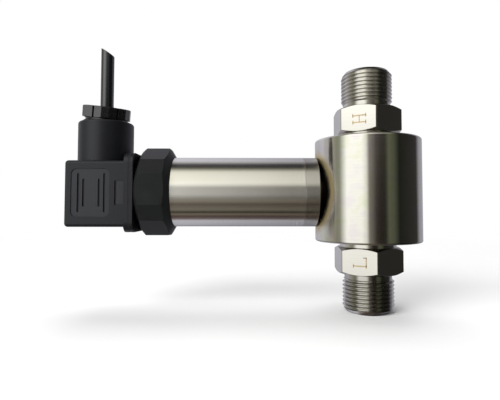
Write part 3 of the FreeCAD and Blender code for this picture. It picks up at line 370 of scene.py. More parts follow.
@dataclass(frozen=True)
class TurnedSteel:
    """Stainless steel, turned on a lathe, with fine marks round its axis and faint clouds of handling."""

    name: str
    turning: Turning
    roughness: float
    colour: Colour = (0.66, 0.64, 0.60)
    shade: Colour = (0.61, 0.585, 0.54)
    roughness_play: float = 0.03
    stretch: float = 1.0
    outward_pull: float = 2.0
    mark_scale: float = 2400.0
    mark_share: float = 0.6
    smudge_scale: float = 38.0
    smudge_detail: float = 1.5
    wear_span: Span = (0.4, 1.2)
    bloom: float = 0.0
    bloom_scale: float = 150.0
    bloom_tones: Stops = ((0.35, (0.90, 0.84, 0.97)), (0.5, WHITE), (0.66, (0.88, 0.93, 0.70)))
    recess_shade: RecessShade | None = None
    heat_tint_and_gap_shade: HeatTintAndGapShade | None = None

    def build(self) -> bpy.types.Material:
        """Builds the material.

        Returns:
            The material.
        """
        material, graph, shader = new_material(self.name)
        place = graph.place()
        direction, point = self.turning.value
        arm = graph.vector("SUBTRACT", place, in_metres(point))
        along = graph.vector("DOT_PRODUCT", arm, direction)
        spoke = graph.vector("SUBTRACT", arm, graph.vector("SCALE", direction, along))
        radius = graph.vector("LENGTH", spoke)
        normal = graph.add("ShaderNodeTexCoord").outputs["Normal"]
        facing = graph.math("ABSOLUTE", graph.vector("DOT_PRODUCT", normal, direction))
        line = graph.math("ADD", along, graph.math("MULTIPLY", radius, facing))
        marks = graph.noise(line, self.mark_scale, line=True)
        smudge = graph.noise(place, self.smudge_scale, self.smudge_detail)
        wear = graph.math("MULTIPLY_ADD", marks, self.mark_share, smudge)
        colour = graph.ramp(wear, ((0.5, self.shade), (1.0, self.colour)))
        metallic = 1.0
        if self.bloom:
            tones = graph.ramp(graph.noise(place, self.bloom_scale), self.bloom_tones)
            colour = graph.blend(self.bloom, colour, tones, mode="MULTIPLY")
        # Painted shade in the ports' thread roots and necks.
        if self.recess_shade:
            colour = self.recess_shade.apply(graph, radius, facing, colour)
        # Heat tint, with painted shade of the gap at the neck's joint.
        if self.heat_tint_and_gap_shade:
            colour, metallic = self.heat_tint_and_gap_shade.apply(graph, place, colour)
        limits = (self.roughness - self.roughness_play, self.roughness + self.roughness_play)
        graph.feed(shader, {
            "Base Color": colour,
            "Metallic": metallic,
            "Roughness": graph.fit(wear, self.wear_span, limits, smooth=False),
            "Anisotropic": self.stretch,
            "Tangent": self._glint(graph, direction, spoke),
        })
        return material

    def _glint(self, graph: Graph, direction: Point, spoke: object) -> bpy.types.NodeSocket:
        """The way a highlight is drawn out: across the marks, along the axis or along the radius.

        Args:
            graph: The material's graph.
            direction: The turning axis.
            spoke: From the axis to the surface.

        Returns:
            The tangent in world axes.
        """
        outward = graph.vector("SCALE", graph.vector("NORMALIZE", spoke), self.outward_pull)
        transform = graph.add(
            "ShaderNodeVectorTransform", vector_type="VECTOR", convert_from="OBJECT", convert_to="WORLD"
        )
        return graph.vector("NORMALIZE", graph.result(transform, graph.vector("ADD", outward, direction)))


@dataclass(frozen=True)
class PlainMetal:
    """Cast, stamped or plated metal without turning marks."""

    name: str
    colour: Colour
    roughness: float = 0.3
    roughness_play: float = 0.06
    blotch: float = 0.06
    blotch_scale: float = 700.0
    blotch_detail: float = 3.0

    def build(self) -> bpy.types.Material:
        """Builds the material.

        Returns:
            The material.
        """
        material, graph, shader = new_material(self.name)
        cloud = graph.noise(graph.place(), self.blotch_scale, self.blotch_detail)
        graph.feed(shader, {
            "Base Color": mottled(graph, cloud, self.colour, self.blotch),
            "Metallic": 1.0,
            "Roughness": uneven(graph, cloud, self.roughness, self.roughness_play),
        })
        return material


@dataclass(frozen=True)
class MouldedPlastic:
    """Moulded plastic with a fine satin grain, and finer paler faces inside the boxes in `panels`.

    Each box is its middle, as distances from the three middle planes, and half its sides, in millimetres.
    """

    name: str
    colour: Colour
    roughness: float = 0.42
    roughness_play: float = 0.05
    gloss: float = 0.3
    spread: float = 0.14
    cloud_scale: float = 130.0
    cloud_detail: float = 3.0
    grain_scale: float = 5200.0
    grain_depth: float = 0.03
    grain_strength: float = 0.16
    panels: tuple[tuple[Point, Point], ...] = ()
    panel_colour: Colour = (0.0145, 0.0152, 0.0192)

    def build(self) -> bpy.types.Material:
        """Builds the material.

        Returns:
            The material.
        """
        material, graph, shader = new_material(self.name)
        place = graph.place()
        cloud = graph.noise(place, self.cloud_scale, self.cloud_detail)
        colour = mottled(graph, cloud, self.colour, self.spread)
        for centre, half in self.panels:
            inside = self._inside(graph, place, centre, half)
            colour = graph.blend(inside, colour, (*self.panel_colour, 1.0))
        bump = graph.feed(graph.add("ShaderNodeBump"), {
            "Strength": self.grain_strength,
            "Distance": self.grain_depth * MM,
            "Height": graph.noise(place, self.grain_scale),
        })
        graph.feed(shader, {
            "Base Color": colour,
            "Roughness": uneven(graph, cloud, self.roughness, self.roughness_play),
            "Specular IOR Level": self.gloss,
            "Normal": bump.outputs[0],
        })
        return material

    @staticmethod
    def _inside(graph: Graph, place: object, centre: Point, half: Point) -> bpy.types.NodeSocket:
        """Tells the inside of a box and of its mirror images from the rest.

        Args:
            graph: The material's graph.
            place: Object coordinates.
            centre: The box's middle.
            half: Half of the box's sides.

        Returns:
            1 inside and 0 outside.
        """
        offset = graph.vector("SUBTRACT", graph.vector("ABSOLUTE", place), in_metres(centre))
        share = graph.vector("ABSOLUTE", graph.vector("DIVIDE", offset, in_metres(half)))
        x, y, z = graph.axes(share)
        widest = graph.math("MAXIMUM", graph.math("MAXIMUM", x, y), z)
        return graph.math("LESS_THAN", widest, 1.0)


@dataclass(frozen=True)
class BoardLaminate:
    """Green coated circuit board with a hint of tracks."""

    name: str = "board_laminate"
    coat: Colour = (0.015, 0.13, 0.05)
    track: Colour = (0.03, 0.21, 0.085)
    track_scale: float = 420.0
    track_width: float = 0.06
    roughness: float = 0.28

    def build(self) -> bpy.types.Material:
        """Builds the material.

        Returns:
            The material.
        """
        material, graph, shader = new_material(self.name)
        tracks = graph.feed(graph.add("ShaderNodeTexBrick"), {
            "Vector": graph.place(),
            "Color1": (*self.coat, 1.0),
            "Color2": (*self.coat, 1.0),
            "Mortar": (*self.track, 1.0),
            "Scale": self.track_scale,
            "Mortar Size": self.track_width,
        })
        graph.feed(shader, {"Base Color": tracks.outputs["Color"], "Roughness": self.roughness})
        return material


# Mesh helpers

def clean_copy(node: str) -> bmesh.types.BMesh:
    """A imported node's mesh with its seams merged and its flat faces joined.

    Args:
        node: The node's name.

    Returns:
        The mesh, ready to edit.
    """
    mesh = bmesh.new()
    mesh.from_mesh(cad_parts[node].data)
    bmesh.ops.remove_doubles(mesh, verts=mesh.verts, dist=2e-6)
    bmesh.ops.dissolve_limit(
        mesh, angle_limit=math.radians(0.4), use_dissolve_boundaries=False,
        verts=mesh.verts, edges=mesh.edges, delimit=set(),
    )
    return mesh


def cut_off(mesh: bmesh.types.BMesh, point: Vector, normal: Vector) -> None:
    """Cuts away what lies on the normal's side of a plane and closes the cut.

    Args:
        mesh: The mesh to cut.
        point: A point of the plane.
        normal: The side that goes.
    """
    everything = mesh.verts[:] + mesh.edges[:] + mesh.faces[:]
    bmesh.ops.bisect_plane(
        mesh, geom=everything, dist=1e-7, plane_co=point, plane_no=normal, clear_outer=True
    )
    rims = [edge for edge in mesh.edges if edge.is_boundary]
    if len(loops_of(rims)) == 2:
        bmesh.ops.bridge_loops(mesh, edges=rims)
    else:
        bmesh.ops.holes_fill(mesh, edges=rims)


def loops_of(edges: Iterable[bmesh.types.BMEdge]) -> list[set[bmesh.types.BMVert]]:
    """Groups edges into connected loops.

    Args:
        edges: The edges.

    Returns:
        The vertices of each loop.
    """
    groups: list[set[bmesh.types.BMVert]] = []
    for edge in edges:
        ends = set(edge.verts)
        touching = [group for group in groups if group & ends]
        for group in touching:
            groups.remove(group)
            ends |= group
        groups.append(ends)
    return groups


@dataclass(frozen=True)
class Rounding:
    """How a piece's edges are rounded.

    They are those that turn by more than `angle` degrees, over `width` millimetres. The edges that lie in a
    plane across X from `mating`, in metres, touch another piece and stay sharp.
    """

    width: float
    segments: int = 2
    angle: float = 28.0
    mating: tuple[float, ...] = ()

    def apply(self, mesh: bmesh.types.BMesh) -> None:
        """Rounds the edges.

        Args:
            mesh: The mesh.
        """
        limit = math.radians(self.angle)
        sharp = [
            edge for edge in mesh.edges
            if len(edge.link_faces) == 2 and edge.calc_face_angle(0.0) > limit and not self._hidden(edge)
        ]
        bmesh.ops.bevel(
            mesh, geom=sharp, offset=self.width * MM, offset_type="OFFSET", segments=self.segments,
            profile=0.5, affect="EDGES", clamp_overlap=True,
        )

    def _hidden(self, edge: bmesh.types.BMEdge) -> bool:
        """Whether an edge lies in a mating plane."""
        return any(all(abs(vert.co.x - plane) < 2e-5 for vert in edge.verts) for plane in self.mating)


def linked(name: str, data: bpy.types.ID) -> bpy.types.Object:
    """Puts a new object into the scene.

    Args:
        name: The object's name.
        data: Its mesh, lamp or camera.

    Returns:
        The object.
    """
    thing = bpy.data.objects.new(name, data)
    bpy.context.scene.collection.objects.link(thing)
    return thing


def mesh_object(name: str, mesh: bmesh.types.BMesh) -> bpy.types.Object:
    """Turns an edited mesh into an object.

    Args:
        name: The object's name.
        mesh: The mesh, which is freed.

    Returns:
        The object.
    """
    data = bpy.data.meshes.new(name)
    mesh.to_mesh(data)
    mesh.free()
    return linked(name, data)


def plain_object(name: str, mesh: bmesh.types.BMesh) -> bpy.types.Object:
    """Turns an edited mesh into an object with even normals.

    Args:
        name: The object's name.
        mesh: The mesh, which is freed.

    Returns:
        The object.
    """
    bmesh.ops.recalc_face_normals(mesh, faces=mesh.faces)
    thing = mesh_object(name, mesh)
    even_normals(thing)
    return thing


def even_normals(thing: bpy.types.Object, angle: float = 35.0) -> None:
    """Shades an object smooth, with flat faces kept flat and sharp edges kept sharp.

    Args:
        thing: The object.
        angle: Angle above which an edge stays sharp, in degrees.
    """
    thing.data.polygons.foreach_set("use_smooth", [True] * len(thing.data.polygons))
    thing.data.set_sharp_from_angle(angle=math.radians(angle))
    weighted = thing.modifiers.new("even", "WEIGHTED_NORMAL")
    weighted.keep_sharp = True
    bake_modifiers(thing)


def bake_modifiers(thing: bpy.types.Object) -> None:
    """Makes an object's evaluated shape its plain mesh.

    Args:
        thing: The object.
    """
    graph = bpy.context.evaluated_depsgraph_get()
    result = bpy.data.meshes.new_from_object(thing.evaluated_get(graph), depsgraph=graph)
    result.name = thing.name
    thing.modifiers.clear()
    thing.data = result


def join_body(
    thing: bpy.types.Object, body: str, nodes: Sequence[str], material: bpy.types.Material
) -> None:
    """Gives a finished piece its material and body, and hides the solids that it replaces.

    Args:
        thing: The piece.
        body: The body that it moves with.
        nodes: The solids that it replaces.
        material: Its material.
    """
    thing.data.materials.clear()
    thing.data.materials.append(material)
    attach(thing, body)
    if nodes:
        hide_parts(*nodes)
    log.info("%s: %d faces on %s", thing.name, len(thing.data.polygons), body)


def rounded_piece(
    node: str, name: str, body: str, material: bpy.types.Material, rounding: Rounding
) -> None:
    """Makes a piece from one solid with its edges rounded.

    Args:
        node: The solid's name.
        name: The piece's name.
        body: The body that it moves with.
        material: Its material.
        rounding: How its edges are rounded.
    """
    mesh = clean_copy(node)
    rounding.apply(mesh)
    join_body(plain_object(name, mesh), body, (node,), material)


def dress(nodes: Iterable[str], material: bpy.types.Material) -> None:
    """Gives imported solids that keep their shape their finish.

    Args:
        nodes: The solids' names.
        material: The material.
    """
    for name in nodes:
        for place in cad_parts[name].material_slots:
            place.material = material
        log.info("%s: dressed in %s", name, material.name)


# Screw threads

STEPS_A_PITCH = 16
CREST_HALF = 1.0 / 16.0
ROOT_HALF = 3.0 / 8.0
SPARE_TURNS = 8.0
MERGE_DISTANCE = 1e-6


@dataclass(frozen=True)
class ThreadForm:
    """A screw thread along local Z, in millimetres."""

    outer: float
    pitch: float
    start: float
    end: float
    inner: float
    start_radius: float
    end_radius: float
    end_slope: float
    depth_share: float = 0.6134
    columns: int = 120

    def tree(self) -> bpy.types.NodeTree:
        """Builds the node tree that makes one right-hand thread.

        Returns:
            The tree, with named inputs for its sizes.
        """
        tree = bpy.data.node_groups.new("screw_thread", "GeometryNodeTree")
        face = tree.interface
        face.new_socket("Geometry", in_out="OUTPUT", socket_type="NodeSocketGeometry")
        for name, value in self.values().items():
            kind = "NodeSocketInt" if isinstance(value, int) else "NodeSocketFloat"
            face.new_socket(name, in_out="INPUT", socket_type=kind)
        face.new_socket("Material", in_out="INPUT", socket_type="NodeSocketMaterial")
        graph = Graph(tree)
        source = graph.add("NodeGroupInput").outputs
        grid = graph.feed(graph.add("GeometryNodeMeshGrid"), {
            "Size X": 1.0,
            "Size Y": 1.0,
            "Vertices X": graph.math("ADD", source["Columns"], 1.0),
            "Vertices Y": source["Rows"],
        })
        across, upward, _ = graph.axes(graph.add("GeometryNodeInputPosition").outputs[0])
        turn = graph.math("ADD", across, 0.5)
        last = graph.math("SUBTRACT", source["Rows"], 1.0)
        row = graph.math("ROUND", graph.math("MULTIPLY", graph.math("ADD", upward, 0.5), last))
        height = self._height(graph, source, turn, row, last)
        outside = self._outside(graph, source, turn, height)
        first_row = graph.math("LESS_THAN", row, 0.5)
        wrap_row = graph.math("GREATER_THAN", row, graph.math("SUBTRACT", last, 0.5))
        upper_row = graph.math("GREATER_THAN", row, graph.math("SUBTRACT", last, 1.5))
        inside = graph.math("MAXIMUM", first_row, upper_row)
        lower_row = graph.math("MAXIMUM", first_row, wrap_row)
        radius = graph.blend(inside, outside, source["Inner Radius"], "FLOAT")
        level = graph.blend(upper_row, height, source["End"], "FLOAT")
        level = graph.blend(lower_row, level, source["Start"], "FLOAT")
        angle = graph.math("MULTIPLY", turn, 2.0 * math.pi)
        place = graph.result(
            graph.add("ShaderNodeCombineXYZ"),
            graph.math("MULTIPLY", radius, graph.math("COSINE", angle)),
            graph.math("MULTIPLY", radius, graph.math("SINE", angle)),
            level,
        )
        shaped = graph.feed(
            graph.add("GeometryNodeSetPosition"), {"Geometry": grid.outputs["Mesh"], "Position": place}
        )
        merged = graph.feed(
            graph.add("GeometryNodeMergeByDistance"),
            {"Geometry": shaped.outputs[0], "Distance": MERGE_DISTANCE},
        )
        finish_tree(graph, merged.outputs[0], source["Material"])
        return tree

    @staticmethod
    def _height(
        graph: Graph, source: bpy.types.NodeOutputs, turn: object, row: object, last: object
    ) -> bpy.types.NodeSocket:
        """How high a point of the grid lies: it climbs a pitch in a turn, between start and end.

        Args:
            graph: The tree's graph.
            source: The tree's inputs.
            turn: The point's place round the axis, from 0 to 1.
            row: Its row.
            last: The last row.

        Returns:
            The height.
        """
        step = graph.clamp(graph.math("SUBTRACT", row, 1.0), 0.0, graph.math("SUBTRACT", last, 3.0))
        rise = graph.math("MULTIPLY", graph.math("DIVIDE", step, float(STEPS_A_PITCH)), source["Pitch"])
        climb = graph.math("MULTIPLY", graph.math("SUBTRACT", turn, 1.0), source["Pitch"])
        free = graph.math("ADD", graph.math("ADD", source["Start"], rise), climb)
        return graph.clamp(free, source["Start"], source["End"])

    @staticmethod
    def _outside(
        graph: Graph, source: bpy.types.NodeOutputs, turn: object, height: object
    ) -> bpy.types.NodeSocket:
        """The thread's own radius, with its lead-in and its chamfered tip.

        Args:
            graph: The tree's graph.
            source: The tree's inputs.
            turn: The point's place round the axis, from 0 to 1.
            height: Its height.

        Returns:
            The radius.
        """
        above = graph.math("SUBTRACT", height, source["Start"])
        pitches = graph.math("SUBTRACT", graph.math("DIVIDE", above, source["Pitch"]), turn)
        phase = graph.math("FRACT", graph.math("ADD", pitches, SPARE_TURNS))
        away = graph.math("ABSOLUTE", graph.math("SUBTRACT", phase, 0.5))
        radii = (source["Outer Radius"], source["Root Radius"])
        flank = graph.fit(away, (CREST_HALF, ROOT_HALF), radii, smooth=False)
        lead_in = graph.math("ADD", above, source["Start Radius"])
        fall = graph.math("MULTIPLY", graph.math("SUBTRACT", source["End"], height), source["End Slope"])
        tip = graph.math("ADD", fall, source["End Radius"])
        return graph.math("MINIMUM", graph.math("MINIMUM", flank, lead_in), tip)

    def values(self) -> dict[str, float | int]:
        """The tree's sizes in metres.

        Returns:
            Input names and values.
        """
        turns = (self.end - self.start) / self.pitch + 1.0
        return {
            "Outer Radius": self.outer * MM,
            "Root Radius": (self.outer - self.depth_share * self.pitch) * MM,
            "Pitch": self.pitch * MM,
            "Start": self.start * MM,
            "End": self.end * MM,
            "Inner Radius": self.inner * MM,
            "Start Radius": self.start_radius * MM,
            "End Radius": self.end_radius * MM,
            "End Slope": self.end_slope,
            "Columns": self.columns,
            "Rows": math.ceil(turns * STEPS_A_PITCH) + 4,
        }

    def build(self, name: str, place: Matrix, material: bpy.types.Material) -> bpy.types.Object:
        """Makes the thread as a closed ring of solid steel or plastic.

        Args:
            name: The piece's name.
            place: Where local Z and the origin go.
            material: Its material.

        Returns:
            The finished object.
        """
        return grow(name, self.tree(), {**self.values(), "Material": material}, place)


def finish_tree(graph: Graph, geometry: object, material: object) -> None:
    """Ends a geometry tree in plain meshes with a material.

    Args:
        graph: The tree's graph.
        geometry: What the tree has made.
        material: The material input.
    """
    real = graph.result(graph.add("GeometryNodeRealizeInstances"), geometry)
    painted = graph.feed(graph.add("GeometryNodeSetMaterial"), {"Geometry": real, "Material": material})
    graph.put(graph.add("NodeGroupOutput").inputs[0], painted.outputs[0])


def grow(
    name: str, tree: bpy.types.NodeTree, values: dict[str, object], place: Matrix
) -> bpy.types.Object:
    """Runs a geometry tree once and keeps its result as a plain mesh.

    Args:
        name: The piece's name.
        tree: The tree.
        values: Its inputs by name.
        place: Where the result goes.

    Returns:
        The object.
    """
    seed = linked(name, bpy.data.meshes.new(name))
    modifier = seed.modifiers.new("grow", "NODES")
    modifier.node_group = tree
    for item in tree.interface.items_tree:
        if item.in_out == "INPUT" and item.name in values:
            modifier[item.identifier] = values[item.name]
    bake_modifiers(seed)
    seed.data.transform(place)
    mesh = bmesh.new()
    mesh.from_mesh(seed.data)
    bmesh.ops.remove_doubles(mesh, verts=mesh.verts, dist=MERGE_DISTANCE)
    bmesh.ops.recalc_face_normals(mesh, faces=mesh.faces)
    mesh.to_mesh(seed.data)
    mesh.free()
    even_normals(seed)
    return seed


# Sub-assemblies

# The middle of each letter in millimetres: up from the tube's axis, and across its flat towards the plug.
LETTER_SPOTS: dict[Side, Span] = {Side.HIGH: (27.55, -0.4), Side.LOW: (-26.85, -0.1)}


@dataclass
class PortFitting:
    """One pressure port: hexagon, screw thread and its engraved letter."""

    side: Side
    steel: bpy.types.Material
    fill: bpy.types.Material
    reach: float = 27.6
    body_base: float = 27.6
    body_top: float = 67.85
    rounding: Rounding = Rounding(0.10)
    thread_start: float = 14.6
    thread_radius: float = 10.0
    thread_pitch: float = 1.5
    bore_radius: float = 3.0
    root_radius: float = 9.2
    tip_radius: float = 8.5
    tip_slope: float = 1.5 / 1.8
    flat_distance: float = 12.0
    flat_angle: float = -30.0
    letter_height: float = 5.3
    letter_width: float = 4.1
    stroke: float = 0.48
    thin_share: float = 0.85
    serif: float = 1.5
    tail_share: float = 1.9
    engraving: float = 0.03

    @property
    def node(self) -> str:
        """The name of the fitting's solid."""
        return f"{self.side.value}_port_fitting"

    def place(self) -> Matrix:
        """Where the fitting's own frame goes, with local Z out of the body.

        Returns:
            The matrix.
        """
        if self.side is Side.HIGH:
            return Matrix.Translation((0.0, 0.0, self.body_top * MM))
        return Matrix.Translation((0.0, 0.0, self.body_base * MM)) @ Matrix.Rotation(math.pi, 4, "X")

    def build(self) -> None:
        """Makes the fitting's pieces."""
        self.build_hexagon()
        self.build_thread()
        self.build_letter()

    def build_hexagon(self) -> None:
        """Everything below the thread, with lightly broken edges."""
        mesh = clean_copy(self.node)
        place = self.place()
        plane = place @ Vector((0.0, 0.0, self.thread_start * MM))
        cut_off(mesh, plane, place.to_3x3() @ Vector((0.0, 0.0, 1.0)))
        self.rounding.apply(mesh)
        thing = plain_object(f"{self.side.value}_port_hexagon", mesh)
        join_body(thing, "transmitter", (self.node,), self.steel)

    def build_thread(self) -> None:
        """The screw thread, with its chamfered tip and pressure bore."""
        form = ThreadForm(
            outer=self.thread_radius, pitch=self.thread_pitch, start=self.thread_start, end=self.reach,
            inner=self.bore_radius, start_radius=self.root_radius, end_radius=self.tip_radius,
            end_slope=self.tip_slope,
        )
        thing = form.build(f"{self.side.value}_port_thread", self.place(), self.steel)
        join_body(thing, "transmitter", (self.node,), self.steel)

    def strokes(self) -> list[tuple[float, float, float, float]]:
        """The letter's bars as boxes of right-hand and upward reach.

        Returns:
            Left, right, low and high of each bar about the letter's middle.
        """
        half_wide, half_high = self.letter_width / 2, self.letter_height / 2
        thin, foot = self.stroke * self.thin_share, self.serif / 2
        stem = half_wide - foot
        bars = []
        stems = (-stem, stem) if self.side is Side.HIGH else (-stem,)
        for middle in stems:
            bars.append((middle - self.stroke / 2, middle + self.stroke / 2, -half_high, half_high))
            for level in (-half_high, half_high - thin):
                bars.append((middle - foot, middle + foot, level, level + thin))
        if self.side is Side.HIGH:
            bars.append((-stem, stem, -thin / 2, thin / 2))
        else:
            bars.append((-stem, half_wide, -half_high, -half_high + thin))
            bars.append((half_wide - thin, half_wide, -half_high, -half_high + foot * self.tail_share))
        return bars

    def build_letter(self) -> None:
        """The filled engraving on the front left flat, its top towards the plug."""
        angle = math.radians(self.flat_angle)
        normal = Vector((math.sin(angle), -math.cos(angle), 0.0))
        upward = Vector((-math.cos(angle), -math.sin(angle), 0.0))
        rightward = Vector((0.0, 0.0, 1.0))
        height, shift = LETTER_SPOTS[self.side]
        centre = normal * self.flat_distance + upward * shift
        centre.z = AXIS_HEIGHT + height
        mesh = bmesh.new()
        for left, right, low, high in self.strokes():
            corners = []
            for depth in (-self.engraving, self.engraving):
                for across, up in ((left, low), (right, low), (right, high), (left, high)):
                    point = centre + rightward * across + upward * up + normal * depth
                    corners.append(mesh.verts.new(point * MM))
            back, front = corners[:4], corners[4:]
            mesh.faces.new(back)
            mesh.faces.new(front)
            for k in range(4):
                mesh.faces.new((back[k], back[(k + 1) % 4], front[(k + 1) % 4], front[k]))
        thing = plain_object(f"{self.side.value}_port_letter", mesh)
        join_body(thing, "transmitter", (), self.fill)


@dataclass
class SensorBody:
    """The turned body between the ports."""

    steel: bpy.types.Material
    rounding: Rounding = Rounding(0.12, angle=40.0)

    def build(self) -> None:
        """Makes the body with softened rims."""
        rounded_piece(
            "sensor_body", "sensor_body_shell", "transmitter", self.steel, self.rounding
        )


@dataclass
class TubeHousing:
    """Neck, end ring and housing tube."""

    ring_steel: bpy.types.Material
    tube_steel: bpy.types.Material
    rounding: Rounding = Rounding(0.16, angle=40.0)

    def build(self) -> None:
        """Makes the end ring and the tube, with the fine groove where they meet."""
        for node, name, steel in (
            ("neck_ring", "end_ring", self.ring_steel),
            ("housing_tube", "tube_shell", self.tube_steel),
        ):
            rounded_piece(node, name, "transmitter", steel, self.rounding)


@dataclass
class BlackMouldings:
    """The black adapter, contact carrier and plug shell, with moulded edges."""

    plastic: bpy.types.Material
    adapter_plastic: bpy.types.Material
    adapter_edge: float = 0.4
    flange_edge: float = 0.22
    shell_edge: float = 0.16
    edge_angle: float = 24.0

    def build(self) -> None:
        """Makes the mouldings, whose edges along the gasket stay sharp."""
        gasket = [corner[0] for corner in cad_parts["flange_gasket"].bound_box]
        mating = (min(gasket), max(gasket))
        for node, body, edge, material in (
            ("hex_adapter", "transmitter", self.adapter_edge, self.adapter_plastic),
            ("contact_carrier", "transmitter", self.flange_edge, self.plastic),
            ("plug_housing", "plug", self.shell_edge, self.plastic),
        ):
            rounding = Rounding(edge, 3, self.edge_angle, mating)
            rounded_piece(node, f"{node}_moulding", body, material, rounding)


@dataclass
class GlandTop:
    """The gland nut: its head and its screw thread."""

    plastic: bpy.types.Material
    rest_height: float = 76.6
    setback: float = 105.1
    lean: float = 6.2
    nod: float = 8.0
    reach: float = 4.2
    overlap: float = 0.02
    thread_radius: float = 8.7
    end_radius: float = 8.2
    hole_radius: float = 4.2
    pitch: float = 1.41
    depth_share: float = 0.5
    rounding: Rounding = Rounding(0.28, 3, 24.0)

    def place(self) -> Matrix:
        """Where the nut's own frame goes.

        Returns:
            The matrix.
        """
        spot = Matrix.Translation((-self.setback * MM, 0.0, self.rest_height * MM))
        nod = Matrix.Rotation(math.radians(self.nod), 4, "X")
        lean = Matrix.Rotation(math.radians(self.lean), 4, "Y")
        return spot @ nod @ lean

    def build(self) -> None:
        """Makes the head and the thread."""
        place = self.place()
        down = place.to_3x3() @ Vector((0.0, 0.0, -1.0))
        mesh = clean_copy("gland_nut")
        cut_off(mesh, place @ Vector((0.0, 0.0, -self.overlap * MM)), down)
        self.rounding.apply(mesh)
        head = plain_object("gland_nut_head", mesh)
        join_body(head, "gland", ("gland_nut",), self.plastic)
        form = ThreadForm(
            outer=self.thread_radius, pitch=self.pitch, start=self.overlap, end=self.reach,
            inner=self.hole_radius, start_radius=self.end_radius, end_radius=self.end_radius,
            end_slope=1.0, depth_share=self.depth_share,
        )
        flip = Matrix.Rotation(math.pi, 4, "X")
        thread = form.build("gland_nut_thread", place @ flip, self.plastic)
        join_body(thread, "gland", ("gland_nut",), self.plastic)


@dataclass
class CableStub:
    """The cut cable end."""

    jacket: bpy.types.Material
    rounding: Rounding = Rounding(0.12, angle=30.0)

    def build(self) -> None:
        """Makes the jacket with a softened cut edge."""
        rounded_piece("cable_jacket", "cable_sheath", "plug", self.jacket, self.rounding)


@dataclass
class InnerParts:
    """Seals, capsule, electronics, contacts and screws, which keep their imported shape."""

    rubber: Colour = (0.012, 0.012, 0.013)
    tin: Colour = (0.70, 0.70, 0.68)
    zinc: Colour = (0.62, 0.62, 0.60)
    foil: Colour = (0.72, 0.72, 0.71)
    ground_steel: Colour = (0.62, 0.62, 0.61)
    gold: Colour = (0.85, 0.66, 0.30)
    brass: Colour = (0.74, 0.56, 0.27)
    ivory: Colour = (0.62, 0.60, 0.54)
    chip_black: Colour = (0.02, 0.02, 0.021)
    ceramic: Colour = (0.40, 0.28, 0.16)
    blue: Colour = (0.03, 0.13, 0.48)
    red: Colour = (0.50, 0.03, 0.03)
    grey: Colour = (0.05, 0.05, 0.055)
    brown: Colour = (0.22, 0.12, 0.06)

    def build(self) -> None:
        """Dresses the solids."""
        for finish, *nodes in (
            (PlainMetal("ground_steel", self.ground_steel), "pressure_capsule"),
            (PlainMetal("steel_foil", self.foil, roughness=0.18), "high_diaphragm", "low_diaphragm"),
            (PlainMetal("gold_plate", self.gold, roughness=0.22), "capsule_pins"),
            (PlainMetal("brass", self.brass, roughness=0.28), "thread_insert", "socket_contacts"),
            (PlainMetal("tin_plate", self.tin, roughness=0.25), "contact_blades", "earth_blade"),
            (
                PlainMetal("zinc_plate", self.zinc),
                "terminal_screws", "centre_screw", "screw_washer", "gland_washer",
            ),
            (
                MouldedPlastic("dark_rubber", self.rubber, roughness=0.62),
                "high_port_seal", "low_port_seal", "adapter_seal", "cable_seal", "flange_gasket",
            ),
            (BoardLaminate(), "circuit_board"),
            (
                MouldedPlastic("holder_ivory", self.ivory, roughness=0.5),
                "front_board_holder", "rear_board_holder",
            ),
            (
                MouldedPlastic("component_black", self.chip_black, roughness=0.5),
                "amplifier_chip", "output_transistor",
            ),
            (MouldedPlastic("ceramic_tan", self.ceramic, roughness=0.4), "chip_parts"),
            (MouldedPlastic("trimmer_blue", self.blue, roughness=0.3), "zero_trimmer", "span_trimmer"),
            (MouldedPlastic("lead_red", self.red, roughness=0.35), "sensor_leads", "output_leads"),
            (MouldedPlastic("insert_grey", self.grey, roughness=0.5), "plug_insert"),
            (MouldedPlastic("core_brown", self.brown, roughness=0.4), "cable_cores"),
        ):
            dress(nodes, finish.build())


# Studio

# Tones of the studio walls by azimuth, 0 in front of the object and negative towards the plug.
WALL_TONES: Stops = (
    (-180.0, (0.34, 0.34, 0.38)),
    (-140.0, (0.42, 0.42, 0.46)),
    (-124.0, (0.46, 0.465, 0.50)),
    (-112.0, (0.38, 0.385, 0.39)),
    (-98.0, (0.36, 0.35, 0.30)),
    (-82.0, (0.21, 0.21, 0.165)),
    (-74.0, (0.24, 0.25, 0.20)),
    (-66.0, (0.60, 0.62, 0.58)),
    (-58.0, (0.98, 0.99, 0.97)),
    (-26.0, (0.94, 0.96, 0.92)),
    (-17.0, (0.72, 0.73, 0.68)),
    (-11.0, (0.17, 0.16, 0.145)),
    (3.0, (0.035, 0.027, 0.024)),
    (12.0, (0.014, 0.011, 0.010)),
    (22.0, (0.018, 0.017, 0.013)),
    (30.0, (0.088, 0.093, 0.060)),
    (41.0, (0.066, 0.073, 0.050)),
    (53.0, (0.013, 0.014, 0.011)),
    (104.0, (0.030, 0.028, 0.028)),
    (117.0, (0.25, 0.25, 0.28)),
    (145.0, (0.30, 0.305, 0.345)),
    (180.0, (0.34, 0.34, 0.38)),
)
